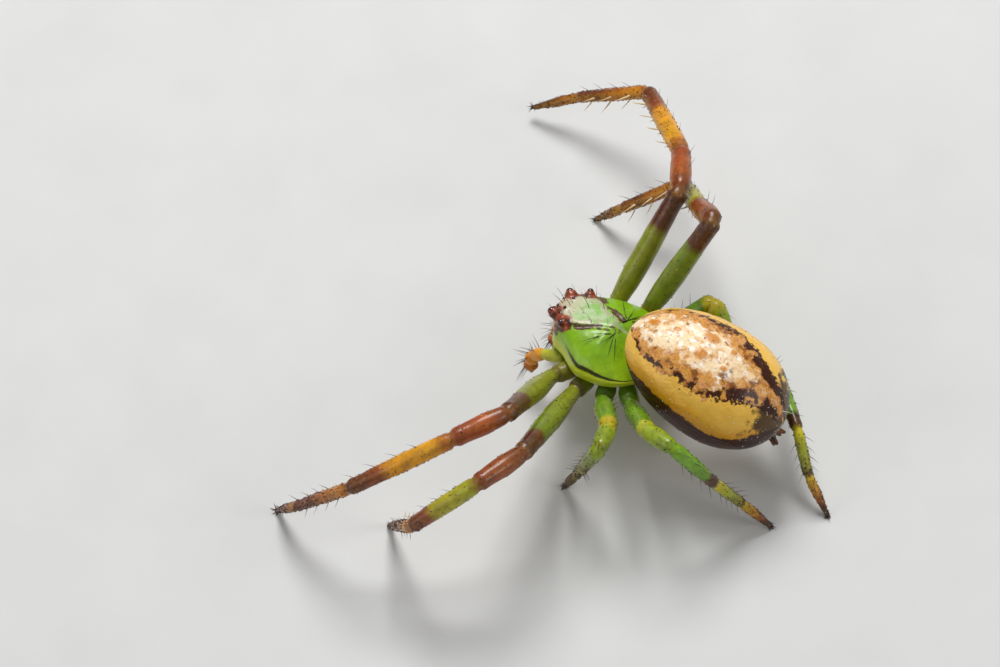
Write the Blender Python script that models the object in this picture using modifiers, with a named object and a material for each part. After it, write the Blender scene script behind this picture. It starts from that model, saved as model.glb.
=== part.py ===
"""A life-size crab spider standing on a floor, in metres with +Z up.

The spider heads along +X, its left side towards +Y. Sizes are in millimetres and are turned to
metres as each mesh is made. The front of the body is described in its own level frame, centred on
the widest place of the carapace, which is then pitched nose down, rolled left side up and lifted to
where it stands.
"""
import math

import bmesh
import bpy
from mathutils import Matrix, Vector

MM = 0.001
TINY = 1e-7
COLLECTION_NAME = "crab_spider"

# Stance
BODY_PLACE = (-0.03, 0.12, 2.12)
BODY_PITCH = math.radians(5.7)
BODY_ROLL = math.radians(12.0)
FOOT_HEIGHT = 0.075
JOINT_GAP = 0.06

# Carapace, measured from its widest place
CARAPACE_HALF_WIDTH = 1.42
CARAPACE_REAR = -1.28
CARAPACE_FRONT = 1.80
HEAD_HALF_WIDTH = 0.80
THORAX_HEIGHT = 0.92
FACE_HEIGHT = 0.86
RIM_THICKNESS = 0.12
REAR_CURVES = (2.3, 2.1)
NECK_START = 0.28
NECK_LENGTH = 1.20
NOSE_START = 1.25
NOSE_CURVE = 2.6
REAR_SLOPE = 1.50
REAR_HEIGHT_SHARE = 0.10
FACE_START = 1.15
SECTION_CURVE = 2.0
HEAD_SQUARENESS = 1.6

# Abdomen, an egg that leans nose up
ABDOMEN_CENTRE = (-2.84, 0.18, 2.94)
ABDOMEN_HALF_LENGTH = 2.35
ABDOMEN_HALF_WIDTH = 1.61
ABDOMEN_HALF_HEIGHT = 1.38
ABDOMEN_PITCH = math.radians(20)
ABDOMEN_YAW = math.radians(2.6)
ABDOMEN_TAPER = 0.12
ABDOMEN_BLUNTNESS = 2.27
STALK = ((-1.80, 0.04, 2.44), (-1.10, 0.10, 1.74))
STALK_RADII = (0.14, 0.13, 0.12)

# Spinnerets: how far back their root is, which way they point, and the spread and drop of each pair
SPINNERET_ROOT = -0.93
SPINNERET_WAY = (-0.90, 0.0, -0.44)
SPINNERET_PAIRS = ((0.10, 0.06), (0.09, -0.06))
SPINNERET_SPLAY = (0.35, 3.0)
SPINNERET_REACH = 0.13
SPINNERET_LENGTH = 0.20
SPINNERET_RADII = (0.09, 0.085, 0.05)

# Segments of a leg in order, and their lengths on the four pairs
SEGMENTS = ("femur", "patella", "tibia", "metatarsus", "tarsus")
SEGMENT_FINISHES = {
    "femur": "leg_olive",
    "patella": "leg_brown",
    "tibia": "leg_amber",
    "metatarsus": "leg_amber",
    "tarsus": "leg_olive",
}
SEGMENT_LENGTHS = {
    1: (4.00, 1.60, 3.15, 2.45, 1.40),
    2: (4.20, 1.60, 2.40, 2.10, 1.25),
    3: (2.00, 1.10, 1.60, 1.15, 1.10),
    4: (2.40, 1.10, 1.95, 1.25, 1.15),
}
# Radii at the start, the middle and the end of each segment
FRONT_RADII = (
    (0.21, 0.32, 0.27), (0.26, 0.30, 0.27), (0.26, 0.26, 0.23), (0.20, 0.19, 0.16), (0.15, 0.14, 0.10)
)
REAR_RADII = (
    (0.20, 0.29, 0.25), (0.24, 0.27, 0.23), (0.23, 0.22, 0.18), (0.17, 0.16, 0.15), (0.15, 0.14, 0.10)
)
# Where each coxa starts and where its leg's femur starts, on the left side of the body frame
HIPS = {
    1: ((0.74, 0.72, -0.40), (1.20, 1.34, -0.47)),
    2: ((0.27, 0.86, -0.40), (0.40, 1.58, -0.50)),
    3: ((-0.28, 0.84, -0.41), (-0.40, 1.42, -0.52)),
    4: ((-0.70, 0.68, -0.41), (-1.13, 1.18, -0.54)),
}
COXA_RADII = (0.19, 0.27, 0.24)

# Headings from straight ahead towards the left, and rises above level, in degrees per segment.
# A standing tarsus has no rise of its own: it reaches down to the floor.
LEG_POSES = {
    ("left", 1): ((103, 58, 43, 7, -17), (40, -3, -25, -47)),
    ("left", 2): ((103, 74, 38, -35, -36), (32, 7, -41, -53)),
    ("left", 3): ((131, 109, -10, -40, 8), (35, 22, -65, -61)),
    ("left", 4): ((138, 164, -150, -139, -159), (38, 16, -59, -60)),
    ("right", 1): ((-103, -58, -39, 10, 21), (44, -16, -22, -31, -31)),
    ("right", 2): ((-129, -36, -42, 28, 5), (57, -39, -39, -36)),
    ("right", 3): ((-142, 146, 149, 48, 24), (44, -33, -62, -22)),
    ("right", 4): ((-147, 141, 139, 135, 155), (-20, 43, 4, -31)),
}

# Spines inside the bend of the long front legs: how many pairs stand along a segment, and their size
SPINE_PAIRS = {"tibia": 4, "metatarsus": 3}
SPINE_LENGTH = 0.34
SPINE_RADIUS = 0.040
SPINE_LEAN = math.radians(40)
SPINE_SPREAD = math.radians(28)
SPINE_SEAT = 0.05

# Eyes of the side pairs: place on the left of the body frame, radius of the lens and its mound
SIDE_EYES = {
    "front": ((1.710, 0.382, 0.770), 0.125, 0.175),
    "rear": ((1.270, 0.630, 0.790), 0.110, 0.165),
}
MEDIAN_EYES = (((1.480, 0.190, 0.870), 0.080), ((1.700, 0.130, 0.790), 0.075))
EYE_OUTWARD = (0.35, 1.2, 0.55)
EYE_STANDOFF = 0.10
EYE_GAP = 0.03

# Underside and mouthparts, on the left of the body frame
STERNUM_CENTRE = (-0.02, 0.0, -0.40)
STERNUM_RADII = (0.80, 0.62, 0.22)
LIP_CENTRE = (0.92, 0.0, -0.46)
LIP_RADII = (0.34, 0.24, 0.16)
JAW = ((1.50, 0.30, -0.43), (1.78, 0.26, -0.96))
JAW_RADII = (0.25, 0.24, 0.16)
PALP_JOINTS = (
    (1.28, 0.70, -0.40), (1.88, 0.74, -0.50), (2.26, 0.66, -0.80), (2.42, 0.60, -1.10), (2.44, 0.54, -1.52)
)
PALP_RADII = ((0.14, 0.17, 0.16), (0.17, 0.18, 0.17), (0.17, 0.19, 0.18), (0.19, 0.20, 0.10))

COLOURS = {
    "carapace_green": (0.20, 0.42, 0.01, 0.45),
    "abdomen_cream": (0.80, 0.52, 0.26, 0.55),
    "leg_olive": (0.22, 0.32, 0.01, 0.40),
    "leg_amber": (0.62, 0.30, 0.01, 0.40),
    "leg_brown": (0.25, 0.07, 0.01, 0.40),
    "mouth_yellow": (0.50, 0.50, 0.03, 0.45),
    "eye_red": (0.25, 0.03, 0.01, 0.15),
}


def material(name):
    """A plain Principled finish: red, green and blue, then the roughness."""
    if name in bpy.data.materials:
        return bpy.data.materials[name]
    red, green, blue, roughness = COLOURS[name]
    made = bpy.data.materials.new(name)
    made.use_nodes = True
    shader = made.node_tree.nodes["Principled BSDF"]
    shader.inputs["Base Color"].default_value = (red, green, blue, 1.0)
    shader.inputs["Roughness"].default_value = roughness
    shader.inputs["Metallic"].default_value = 0.0
    return made


def clear_scene():
    for old in list(bpy.data.objects):
        bpy.data.objects.remove(old, do_unlink=True)


def collection(name):
    made = bpy.data.collections.new(name)
    bpy.context.scene.collection.children.link(made)
    return made


def add_object(name, mesh, home, finish=None):
    made = bpy.data.objects.new(name, mesh)
    home.objects.link(made)
    if finish:
        mesh.materials.clear()
        mesh.materials.append(material(finish))
    return made


def body_matrix():
    """From the level frame of the carapace to the standing body, in millimetres."""
    turn = Matrix.Rotation(BODY_PITCH, 4, "Y") @ Matrix.Rotation(BODY_ROLL, 4, "X")
    return Matrix.Translation(BODY_PLACE) @ turn


def direction(heading, rise):
    heading = math.radians(heading)
    rise = math.radians(rise)
    level = math.cos(rise)
    return Vector((level * math.cos(heading), level * math.sin(heading), math.sin(rise)))


def frame_along(start, along):
    """A matrix whose Z runs along a segment from its start, with X as level as it can be."""
    z_axis = along.normalized()
    x_axis = Vector((0.0, 0.0, 1.0)).cross(z_axis).normalized()
    y_axis = z_axis.cross(x_axis)
    turn = Matrix((x_axis, y_axis, z_axis)).transposed().to_4x4()
    return Matrix.Translation(start) @ turn


def evaluated_mesh(source):
    """The mesh of an object with its modifiers, welded, and the object removed."""
    depsgraph = bpy.context.evaluated_depsgraph_get()
    mesh = bpy.data.meshes.new_from_object(source.evaluated_get(depsgraph))
    mesh.transform(source.matrix_world)
    bpy.data.objects.remove(source, do_unlink=True)
    work = bmesh.new()
    work.from_mesh(mesh)
    bmesh.ops.remove_doubles(work, verts=work.verts, dist=TINY)
    bmesh.ops.dissolve_degenerate(work, edges=work.edges, dist=TINY)
    bmesh.ops.recalc_face_normals(work, faces=work.faces)
    work.to_mesh(mesh)
    work.free()
    return mesh


def turned_mesh(profile, sides, home):
    """A closed turned form from (radius, height) points that run from its top to its foot."""
    mesh = bpy.data.meshes.new("profile")
    points = [(radius * MM, 0.0, height * MM) for radius, height in profile]
    mesh.from_pydata(points, [(i, i + 1) for i in range(len(points) - 1)], [])
    turned = add_object("profile", mesh, home)
    screw = turned.modifiers.new("Screw", "SCREW")
    screw.angle = math.tau
    screw.steps = sides
    screw.render_steps = sides
    screw.use_merge_vertices = True
    screw.merge_threshold = TINY
    return evaluated_mesh(turned)


def limb_profile(length, radii, grow=0.0):
    """Half the outline of a segment with round ends, fuller in its middle."""
    start, middle, end = (radius + grow for radius in radii)
    tip_turns = [math.radians(angle) for angle in (0, 35, 65, 90)]
    foot_turns = [math.radians(angle) for angle in (90, 125, 155, 180)]
    top = [(end * math.sin(turn), length + end * math.cos(turn)) for turn in tip_turns]
    shaft = [
        (end * 0.4 + middle * 0.6, length * 0.75),
        (middle, length * 0.45),
        (start * 0.35 + middle * 0.65, length * 0.18),
    ]
    foot = [(start * math.sin(turn), start * math.cos(turn)) for turn in foot_turns]
    return top + shaft + foot


def limb_mesh(start, along, length, radii, sides, home, grow=0.0):
    mesh = turned_mesh(limb_profile(length, radii, grow), sides, home)
    placed = frame_along(start, along)
    placed.translation *= MM
    mesh.transform(placed)
    return mesh


def keep_largest(mesh):
    """Keeps the closed surface with the most faces and drops any loose scrap."""
    work = bmesh.new()
    work.from_mesh(mesh)
    work.verts.ensure_lookup_table()
    seen = set()
    shells = []
    for seed in work.verts:
        if seed.index in seen:
            continue
        shell = []
        waiting = [seed]
        seen.add(seed.index)
        while waiting:
            vertex = waiting.pop()
            shell.append(vertex)
            for edge in vertex.link_edges:
                other = edge.other_vert(vertex)
                if other.index not in seen:
                    seen.add(other.index)
                    waiting.append(other)
        shells.append(shell)
    shells.sort(key=len)
    for shell in shells[:-1]:
        bmesh.ops.delete(work, geom=shell, context="VERTS")
    work.to_mesh(mesh)
    work.free()


def combine(mesh, others, operation, home):
    """One mesh joined with, or cut by, each of a list of closed meshes, in one Boolean."""
    base = add_object("base", mesh, home)
    tools = bpy.data.collections.new("tools")
    bpy.context.scene.collection.children.link(tools)
    for other in others:
        add_object("tool", other, tools)
    boolean = base.modifiers.new("Boolean", "BOOLEAN")
    boolean.operation = operation
    boolean.operand_type = "COLLECTION"
    boolean.collection = tools
    boolean.solver = "EXACT"
    bpy.context.view_layer.update()
    made = evaluated_mesh(base)
    for tool in list(tools.objects):
        bpy.data.objects.remove(tool, do_unlink=True)
    bpy.data.collections.remove(tools)
    keep_largest(made)
    return made


def level_foot(mesh):
    """Cuts a foot level with the floor, which gives it its small flat."""
    work = bmesh.new()
    work.from_mesh(mesh)
    geometry = work.verts[:] + work.edges[:] + work.faces[:]
    cut = bmesh.ops.bisect_plane(
        work, geom=geometry, dist=TINY, plane_co=(0.0, 0.0, 0.0), plane_no=(0.0, 0.0, 1.0), clear_inner=True
    )
    edges = [item for item in cut["geom_cut"] if isinstance(item, bmesh.types.BMEdge)]
    bmesh.ops.contextual_create(work, geom=edges)
    bmesh.ops.recalc_face_normals(work, faces=work.faces)
    work.to_mesh(mesh)
    work.free()


def smoothstep(value):
    value = min(max(value, 0.0), 1.0)
    return value * value * (3.0 - 2.0 * value)


def carapace_half_width(x):
    """The plan of the carapace: round behind, drawn in to the head in front."""
    if x < 0.0:
        reach, flatness = REAR_CURVES
        return CARAPACE_HALF_WIDTH * (1.0 - abs(x / CARAPACE_REAR) ** reach) ** (1 / flatness)
    waist = smoothstep((x - NECK_START) / NECK_LENGTH)
    half = CARAPACE_HALF_WIDTH + (HEAD_HALF_WIDTH - CARAPACE_HALF_WIDTH) * waist
    nose = max(0.0, (x - NOSE_START) / (CARAPACE_FRONT - NOSE_START))
    return half * math.sqrt(max(0.0, 1.0 - nose**NOSE_CURVE))


def carapace_height(x):
    """The profile of the carapace: high over the middle, falling behind and a little at the face."""
    rear = smoothstep((x - CARAPACE_REAR) / REAR_SLOPE)
    face = smoothstep((x - FACE_START) / (CARAPACE_FRONT - FACE_START))
    back = THORAX_HEIGHT * (REAR_HEIGHT_SHARE + (1.0 - REAR_HEIGHT_SHARE) * rear)
    return back + (FACE_HEIGHT - THORAX_HEIGHT) * face


def carapace_mesh(home):
    """A loft along the body of domed sections that are flat below."""
    arc_steps = 14
    stations = 17
    work = bmesh.new()
    rings = []
    for i in range(stations):
        share = 0.5 - 0.5 * math.cos(math.pi * (i + 0.35) / (stations - 0.3))
        x = CARAPACE_REAR + (CARAPACE_FRONT - CARAPACE_REAR) * share
        half = max(carapace_half_width(x), 0.10)
        height = carapace_height(x)
        box = SECTION_CURVE + HEAD_SQUARENESS * smoothstep((x - NECK_START) / NECK_LENGTH)
        ring = []
        for k in range(arc_steps + 1):
            turn = math.pi * k / arc_steps
            side = math.cos(turn)
            y = half * math.copysign(abs(side) ** (2.0 / box), side)
            z = height * abs(math.sin(turn)) ** (2.0 / box)
            ring.append((x, y, z))
        ring.append((x, -half * 0.93, -RIM_THICKNESS))
        ring.append((x, half * 0.93, -RIM_THICKNESS))
        rings.append([work.verts.new(Vector(point) * MM) for point in ring])
    count = len(rings[0])
    for a, b in zip(rings, rings[1:]):
        for k in range(count):
            m = (k + 1) % count
            work.faces.new((a[k], a[m], b[m], b[k]))
    work.faces.new(rings[0])
    work.faces.new(list(reversed(rings[-1])))
    bmesh.ops.recalc_face_normals(work, faces=work.faces)
    mesh = bpy.data.meshes.new("carapace")
    work.to_mesh(mesh)
    work.free()
    return mesh


def ball_mesh(centre, radius, segments=12, rings=8):
    work = bmesh.new()
    bmesh.ops.create_uvsphere(work, u_segments=segments, v_segments=rings, radius=radius * MM)
    bmesh.ops.translate(work, verts=work.verts, vec=Vector(centre) * MM)
    mesh = bpy.data.meshes.new("ball")
    work.to_mesh(mesh)
    work.free()
    return mesh


def mirrored(point, side):
    return (point[0], point[1] * side, point[2])


def eye_centre(place, side):
    """Where the lens of a side eye is centred, a little out of its mound."""
    x, y, z = mirrored(place, side)
    outward = Vector((x * EYE_OUTWARD[0], y * EYE_OUTWARD[1], EYE_OUTWARD[2])).normalized()
    return Vector((x, y, z)) + outward * EYE_STANDOFF


def to_body(mesh):
    """Turns and lifts a mesh from the level frame to where the body stands."""
    placed = body_matrix()
    placed.translation *= MM
    mesh.transform(placed)
    return mesh


def make_head_and_eyes(parts, work_home):
    mounds = []
    sockets = []
    for side in (1, -1):
        for place, lens, mound in SIDE_EYES.values():
            mounds.append(ball_mesh(mirrored(place, side), mound))
            sockets.append(ball_mesh(eye_centre(place, side), lens + EYE_GAP))
        for place, mound in MEDIAN_EYES:
            mounds.append(ball_mesh(mirrored(place, side), mound, 10, 6))
    shell = combine(carapace_mesh(work_home), mounds, "UNION", work_home)
    shell = combine(shell, sockets, "DIFFERENCE", work_home)
    shell = combine(to_body(shell), [egg_mesh(JOINT_GAP)], "DIFFERENCE", work_home)
    add_object("carapace", shell, parts, "carapace_green")
    for side, side_name in ((1, "left"), (-1, "right")):
        for pair, (place, lens, _mound) in SIDE_EYES.items():
            eye = to_body(ball_mesh(eye_centre(place, side), lens))
            add_object(f"eye_{side_name}_{pair}", eye, parts, "eye_red")


def squashed_ball(centre, radii, segments, rings):
    mesh = ball_mesh((0.0, 0.0, 0.0), 1.0, segments, rings)
    mesh.transform(Matrix.Diagonal((*radii, 1.0)))
    mesh.transform(Matrix.Translation(Vector(centre) * MM))
    return mesh


def make_underside(parts, work_home):
    """The sternum plate with the lip in front of it, between the coxae."""
    plate = squashed_ball(STERNUM_CENTRE, STERNUM_RADII, 20, 8)
    lip = squashed_ball(LIP_CENTRE, LIP_RADII, 12, 6)
    plate = combine(plate, [lip], "UNION", work_home)
    add_object("sternum", to_body(plate), parts, "mouth_yellow")


def make_mouthparts(parts, work_home):
    for side, side_name in ((1, "left"), (-1, "right")):
        top, foot = (Vector(mirrored(point, side)) for point in JAW)
        jaw = limb_mesh(top, foot - top, (foot - top).length, JAW_RADII, 12, work_home)
        add_object(f"chelicera_{side_name}", to_body(jaw), parts, "mouth_yellow")
        joints = [Vector(mirrored(point, side)) for point in PALP_JOINTS]
        pieces = []
        for start, end, radii in zip(joints, joints[1:], PALP_RADII):
            pieces.append(limb_mesh(start, end - start, (end - start).length, radii, 10, work_home))
        palp = combine(pieces[0], pieces[1:], "UNION", work_home)
        add_object(f"palp_{side_name}", to_body(palp), parts, "leg_amber")


def abdomen_matrix():
    turn = Matrix.Rotation(ABDOMEN_YAW, 4, "Z") @ Matrix.Rotation(-ABDOMEN_PITCH, 4, "Y")
    return Matrix.Translation(ABDOMEN_CENTRE) @ turn


def abdomen_girth(along):
    """How full the egg is at a share of its half length, 1 at the front tip and -1 behind."""
    if along > 0.0:
        round_part = math.sqrt(max(0.0, 1.0 - along**ABDOMEN_BLUNTNESS))
    else:
        round_part = math.sqrt(max(0.0, 1.0 - along**2))
    return round_part * (1.0 - ABDOMEN_TAPER * along)


def egg_mesh(grow=0.0):
    """The abdomen as it lies, or a copy that is larger all round."""
    work = bmesh.new()
    bmesh.ops.create_uvsphere(work, u_segments=26, v_segments=18, radius=1.0)
    bmesh.ops.rotate(work, verts=work.verts, cent=(0, 0, 0), matrix=Matrix.Rotation(math.pi / 2, 3, "Y"))
    for vertex in work.verts:
        along = min(max(vertex.co.x, -1.0), 1.0)
        level = math.hypot(vertex.co.y, vertex.co.z)
        girth = abdomen_girth(along) / level if level > 1e-6 else 0.0
        vertex.co.x = along * (ABDOMEN_HALF_LENGTH + grow) * MM
        vertex.co.y *= girth * (ABDOMEN_HALF_WIDTH + grow) * MM
        vertex.co.z *= girth * (ABDOMEN_HALF_HEIGHT + grow) * MM
    bmesh.ops.recalc_face_normals(work, faces=work.faces)
    egg = bpy.data.meshes.new("egg")
    work.to_mesh(egg)
    work.free()
    placed = abdomen_matrix()
    placed.translation *= MM
    egg.transform(placed)
    return egg


def make_abdomen(parts, work_home):
    """The egg with the stalk by which it hangs behind the legs."""
    stalk_start, stalk_end = (Vector(point) for point in STALK)
    way = stalk_end - stalk_start
    stalk = limb_mesh(stalk_start, way, way.length, STALK_RADII, 12, work_home)
    add_object("abdomen", combine(egg_mesh(), [stalk], "UNION", work_home), parts, "abdomen_cream")


def make_spinnerets(parts, work_home):
    """Four short cones round one root, under the rear tip of the abdomen."""
    placed = abdomen_matrix()
    low = -abdomen_girth(SPINNERET_ROOT) * ABDOMEN_HALF_HEIGHT
    outward = Vector(SPINNERET_WAY).normalized()
    root = Vector((SPINNERET_ROOT * ABDOMEN_HALF_LENGTH, 0.0, low)) + outward * SPINNERET_REACH
    splay_out, splay_down = SPINNERET_SPLAY
    pieces = []
    for side in (1, -1):
        for spread, drop in SPINNERET_PAIRS:
            way = (outward + Vector((0.0, side * splay_out, drop * splay_down))).normalized()
            start = placed @ (root + Vector((0.0, side * spread, drop)))
            way = placed.to_3x3() @ way
            pieces.append(limb_mesh(start, way, SPINNERET_LENGTH, SPINNERET_RADII, 8, work_home))
    add_object("spinnerets", combine(pieces[0], pieces[1:], "UNION", work_home), parts, "leg_brown")


def spine_mesh(root, way, home):
    """A stiff bristle that tapers to its tip."""
    profile = [(0.0, SPINE_LENGTH), (0.010, SPINE_LENGTH * 0.97), (SPINE_RADIUS, 0.0), (0.0, -0.03)]
    mesh = turned_mesh(profile, 5, home)
    placed = frame_along(root, way)
    placed.translation *= MM
    mesh.transform(placed)
    return mesh


def bend_plane(ways):
    """The direction across the plane in which a leg bends, from the ways its segments run."""
    plane = Vector((0.0, 0.0, 0.0))
    for before, after in zip(ways, ways[1:]):
        plane += before.cross(after)
    return plane.normalized()


def spines_inside(start, along, length, radii, pairs, plane, home):
    """Pairs of spines on the side of a segment that faces into the bend, leaning towards its far end."""
    across = (plane - along * plane.dot(along)).normalized()
    under = across.cross(along)
    made = []
    for i in range(pairs):
        share = (i + 0.75) / (pairs + 0.4)
        radius = radii[0] + (radii[2] - radii[0]) * share
        for spread in (SPINE_SPREAD, -SPINE_SPREAD):
            out = Matrix.Rotation(spread, 3, along) @ under
            way = (out * math.cos(SPINE_LEAN) + along * math.sin(SPINE_LEAN)).normalized()
            root = start + along * (length * share) + out * (radius - SPINE_SEAT)
            made.append(spine_mesh(root, way, home))
    return made


def make_leg(side_name, number, parts, work_home):
    """A coxa and five segments, each cut to meet the one before it across a narrow joint."""
    side = 1 if side_name == "left" else -1
    name = f"leg_{side_name}_{number}"
    hip, knee = (body_matrix() @ Vector(mirrored(point, side)) for point in HIPS[number])
    way = (knee - hip).normalized()
    span = (knee - hip).length
    coxa = limb_mesh(hip, way, span, COXA_RADII, 12, work_home)
    add_object(f"{name}_coxa", coxa, parts, "leg_olive")
    before = (hip, way, span, COXA_RADII)
    headings, rises = LEG_POSES[(side_name, number)]
    all_radii = FRONT_RADII if number < 3 else REAR_RADII
    plane = bend_plane([direction(heading, rise) for heading, rise in zip(headings, rises)])
    start = knee
    for i, segment in enumerate(SEGMENTS):
        length = SEGMENT_LENGTHS[number][i]
        standing = segment == "tarsus" and len(rises) < len(SEGMENTS)
        rise = math.degrees(math.asin((FOOT_HEIGHT - start.z) / length)) if standing else rises[i]
        way = direction(headings[i], rise)
        radii = all_radii[i]
        mesh = limb_mesh(start, way, length, radii, 12, work_home)
        if number < 3 and segment in SPINE_PAIRS:
            spines = spines_inside(start, way, length, radii, SPINE_PAIRS[segment], plane, work_home)
            mesh = combine(mesh, spines, "UNION", work_home)
        shadow = limb_mesh(*before, 12, work_home, grow=JOINT_GAP)
        mesh = combine(mesh, [shadow], "DIFFERENCE", work_home)
        if standing:
            level_foot(mesh)
        add_object(f"{name}_{segment}", mesh, parts, SEGMENT_FINISHES[segment])
        before = (start, way, length, radii)
        start = start + way * length


def centre_on_floor(parts):
    """Moves the whole spider so that the middle of its box stands over the origin."""
    corners = [vertex.co for item in parts.objects for vertex in item.data.vertices]
    middle_x = (min(c.x for c in corners) + max(c.x for c in corners)) / 2
    middle_y = (min(c.y for c in corners) + max(c.y for c in corners)) / 2
    for item in parts.objects:
        item.location = (-middle_x, -middle_y, 0.0)


def main():
    clear_scene()
    parts = collection(COLLECTION_NAME)
    work_home = collection("workbench")
    make_head_and_eyes(parts, work_home)
    make_underside(parts, work_home)
    make_mouthparts(parts, work_home)
    make_abdomen(parts, work_home)
    make_spinnerets(parts, work_home)
    for side_name, number in LEG_POSES:
        make_leg(side_name, number, parts, work_home)
    centre_on_floor(parts)
    for item in parts.objects:
        item.data.shade_smooth()
        item.data.set_sharp_from_angle(angle=math.radians(50))


main()
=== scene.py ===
"""The looks of a life-size green crab spider: skins, eyes, claws, spines and hairs over its solids.

Shapes are worked out in millimetres in the spider's own standing frame, where the widest place of
the carapace is over the origin, and each finished piece is then made in metres where the frame is.
"""
import math

import bmesh
import bpy
import numpy as np
from mathutils import Matrix, Vector, noise


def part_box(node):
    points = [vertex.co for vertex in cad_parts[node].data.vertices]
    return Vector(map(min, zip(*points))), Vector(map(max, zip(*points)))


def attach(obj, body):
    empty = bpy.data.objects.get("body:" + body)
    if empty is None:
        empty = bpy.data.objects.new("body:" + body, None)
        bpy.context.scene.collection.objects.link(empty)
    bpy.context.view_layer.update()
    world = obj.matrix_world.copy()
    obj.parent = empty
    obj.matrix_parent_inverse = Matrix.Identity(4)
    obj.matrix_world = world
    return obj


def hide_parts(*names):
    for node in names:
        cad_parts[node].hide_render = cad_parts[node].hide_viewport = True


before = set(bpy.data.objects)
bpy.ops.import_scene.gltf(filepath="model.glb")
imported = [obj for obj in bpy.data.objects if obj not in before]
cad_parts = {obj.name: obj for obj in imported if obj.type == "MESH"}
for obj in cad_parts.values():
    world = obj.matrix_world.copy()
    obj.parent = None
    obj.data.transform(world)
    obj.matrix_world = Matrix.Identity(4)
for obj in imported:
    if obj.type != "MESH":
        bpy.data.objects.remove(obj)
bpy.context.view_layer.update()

MM = 0.001
TINY = 1e-5
# Parts of the unwrap: the margin round a half and the span it leaves, and each hair's own patch
UNWRAP_MARGIN = 0.01
UNWRAP_SPAN = 0.48
HAIR_PATCH = 0.003
SIDES = ((1, "left"), (-1, "right"))

# Stance, as the solids have it
BODY_PLACE = (-0.03, 0.12, 2.12)
BODY_PITCH = math.radians(5.7)
BODY_ROLL = math.radians(12.0)
FOOT_HEIGHT = 0.075

# Carapace, measured in its own level frame
CARAPACE_HALF_WIDTH = 1.42
CARAPACE_REAR = -1.28
CARAPACE_FRONT = 1.80
HEAD_HALF_WIDTH = 0.80
THORAX_HEIGHT = 0.92
FACE_HEIGHT = 0.86
RIM_THICKNESS = 0.12
REAR_CURVES = (2.3, 2.1)
NECK_START = 0.28
NECK_LENGTH = 1.20
NOSE_START = 1.25
NOSE_CURVE = 2.6
REAR_SLOPE = 1.50
REAR_HEIGHT_SHARE = 0.10
FACE_START = 1.15
SECTION_CURVE = 2.0
HEAD_SQUARENESS = 1.6
FURROW_DEPTH = 0.030
SPOKE_DEPTH = 0.014
SPOKE_RATE = 5.2
PIT_DEPTH = 0.045
RIM_RISE = 0.030
UNEVENNESS = 0.006
CARAPACE_GRAIN = 0.034
UNDERSIDE_GRAIN = 0.045
WAIST_ROOM = 0.035
NARROWEST = 0.2

# Abdomen, with its relief, its waist and its spinnerets
ABDOMEN_CENTRE = (-2.84, 0.18, 2.94)
ABDOMEN_HALF_LENGTH = 2.35
ABDOMEN_HALF_WIDTH = 1.61
ABDOMEN_HALF_HEIGHT = 1.38
ABDOMEN_PITCH = math.radians(20)
ABDOMEN_YAW = math.radians(2.6)
ABDOMEN_TAPER = 0.12
ABDOMEN_BLUNTNESS = 2.27
DIMPLE_DEPTH = 0.035
FLANK_PLACE = 0.36
FLANK_SPREAD = 0.13
FLANK_FOLDS = 46.0
FOLD_DEPTH = 0.010
ABDOMEN_SWELLS = ((0.012, 2.3), (0.006, 8.0))
STALK = ((-1.80, 0.04, 2.44), (-1.00, 0.10, 1.70))
STALK_RADII = ((0.17, 0.13, 0.13),)
SPINNERET_PLACE = -0.93
SPINNERET_RADII = ((0.10, 0.095, 0.08), (0.08, 0.07, 0.04))

# Legs: lengths of the segments, radii at start, middle and end, places of the hips on the body, and
# how each leg is posed, by the headings and rises of its segments in degrees
SEGMENTS = ("femur", "patella", "tibia", "metatarsus", "tarsus")
SEGMENT_LENGTHS = {
    1: (4.00, 1.60, 3.15, 2.45, 1.40),
    2: (4.20, 1.60, 2.40, 2.10, 1.25),
    3: (2.00, 1.10, 1.60, 1.15, 1.10),
    4: (2.40, 1.10, 1.95, 1.25, 1.15),
}
COXA_RADII = (0.20, 0.27, 0.25)
FRONT_RADII = (
    COXA_RADII, (0.22, 0.32, 0.27), (0.26, 0.30, 0.26), (0.25, 0.26, 0.22), (0.19, 0.18, 0.15),
    (0.14, 0.13, 0.07),
)
REAR_RADII = (
    COXA_RADII, (0.21, 0.29, 0.25), (0.24, 0.27, 0.22), (0.22, 0.21, 0.17), (0.16, 0.155, 0.14),
    (0.14, 0.13, 0.07),
)
HIPS = {
    1: ((0.74, 0.72, -0.40), (1.20, 1.34, -0.47)),
    2: ((0.27, 0.86, -0.40), (0.40, 1.58, -0.50)),
    3: ((-0.28, 0.84, -0.41), (-0.40, 1.42, -0.52)),
    4: ((-0.70, 0.68, -0.41), (-1.13, 1.18, -0.54)),
}
LEG_POSES = {
    ("left", 1): ((103, 58, 43, 7, -17), (40, -3, -25, -47)),
    ("left", 2): ((103, 74, 38, -35, -36), (32, 7, -41, -53)),
    ("left", 3): ((131, 109, -10, -40, 8), (35, 22, -65, -61)),
    ("left", 4): ((138, 164, -150, -139, -159), (38, 16, -59, -60)),
    ("right", 1): ((-103, -58, -39, 10, 21), (44, -16, -22, -31, -31)),
    ("right", 2): ((-129, -36, -42, 28, 5), (57, -39, -39, -36)),
    ("right", 3): ((-142, 146, 149, 48, 24), (44, -33, -62, -22)),
    ("right", 4): ((-147, 141, 139, 135, 155), (-20, 43, 4, -31)),
}
KNEE_ROUNDING = 0.30
KNEE_STEPS = 9
RING_STEP = 0.065
LEG_SIDES = 24
LEG_PARTS = 6.0
LIMB_FLATNESS = 0.94
WIDEST_SHARE = 0.4
NECK_DEPTH = 0.20
NECK_AFTER_JOINT = 0.075
NECK_BEFORE_JOINT = 0.060
LIP_HEIGHT = 0.05
LIP_PLACE = 0.17
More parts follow.
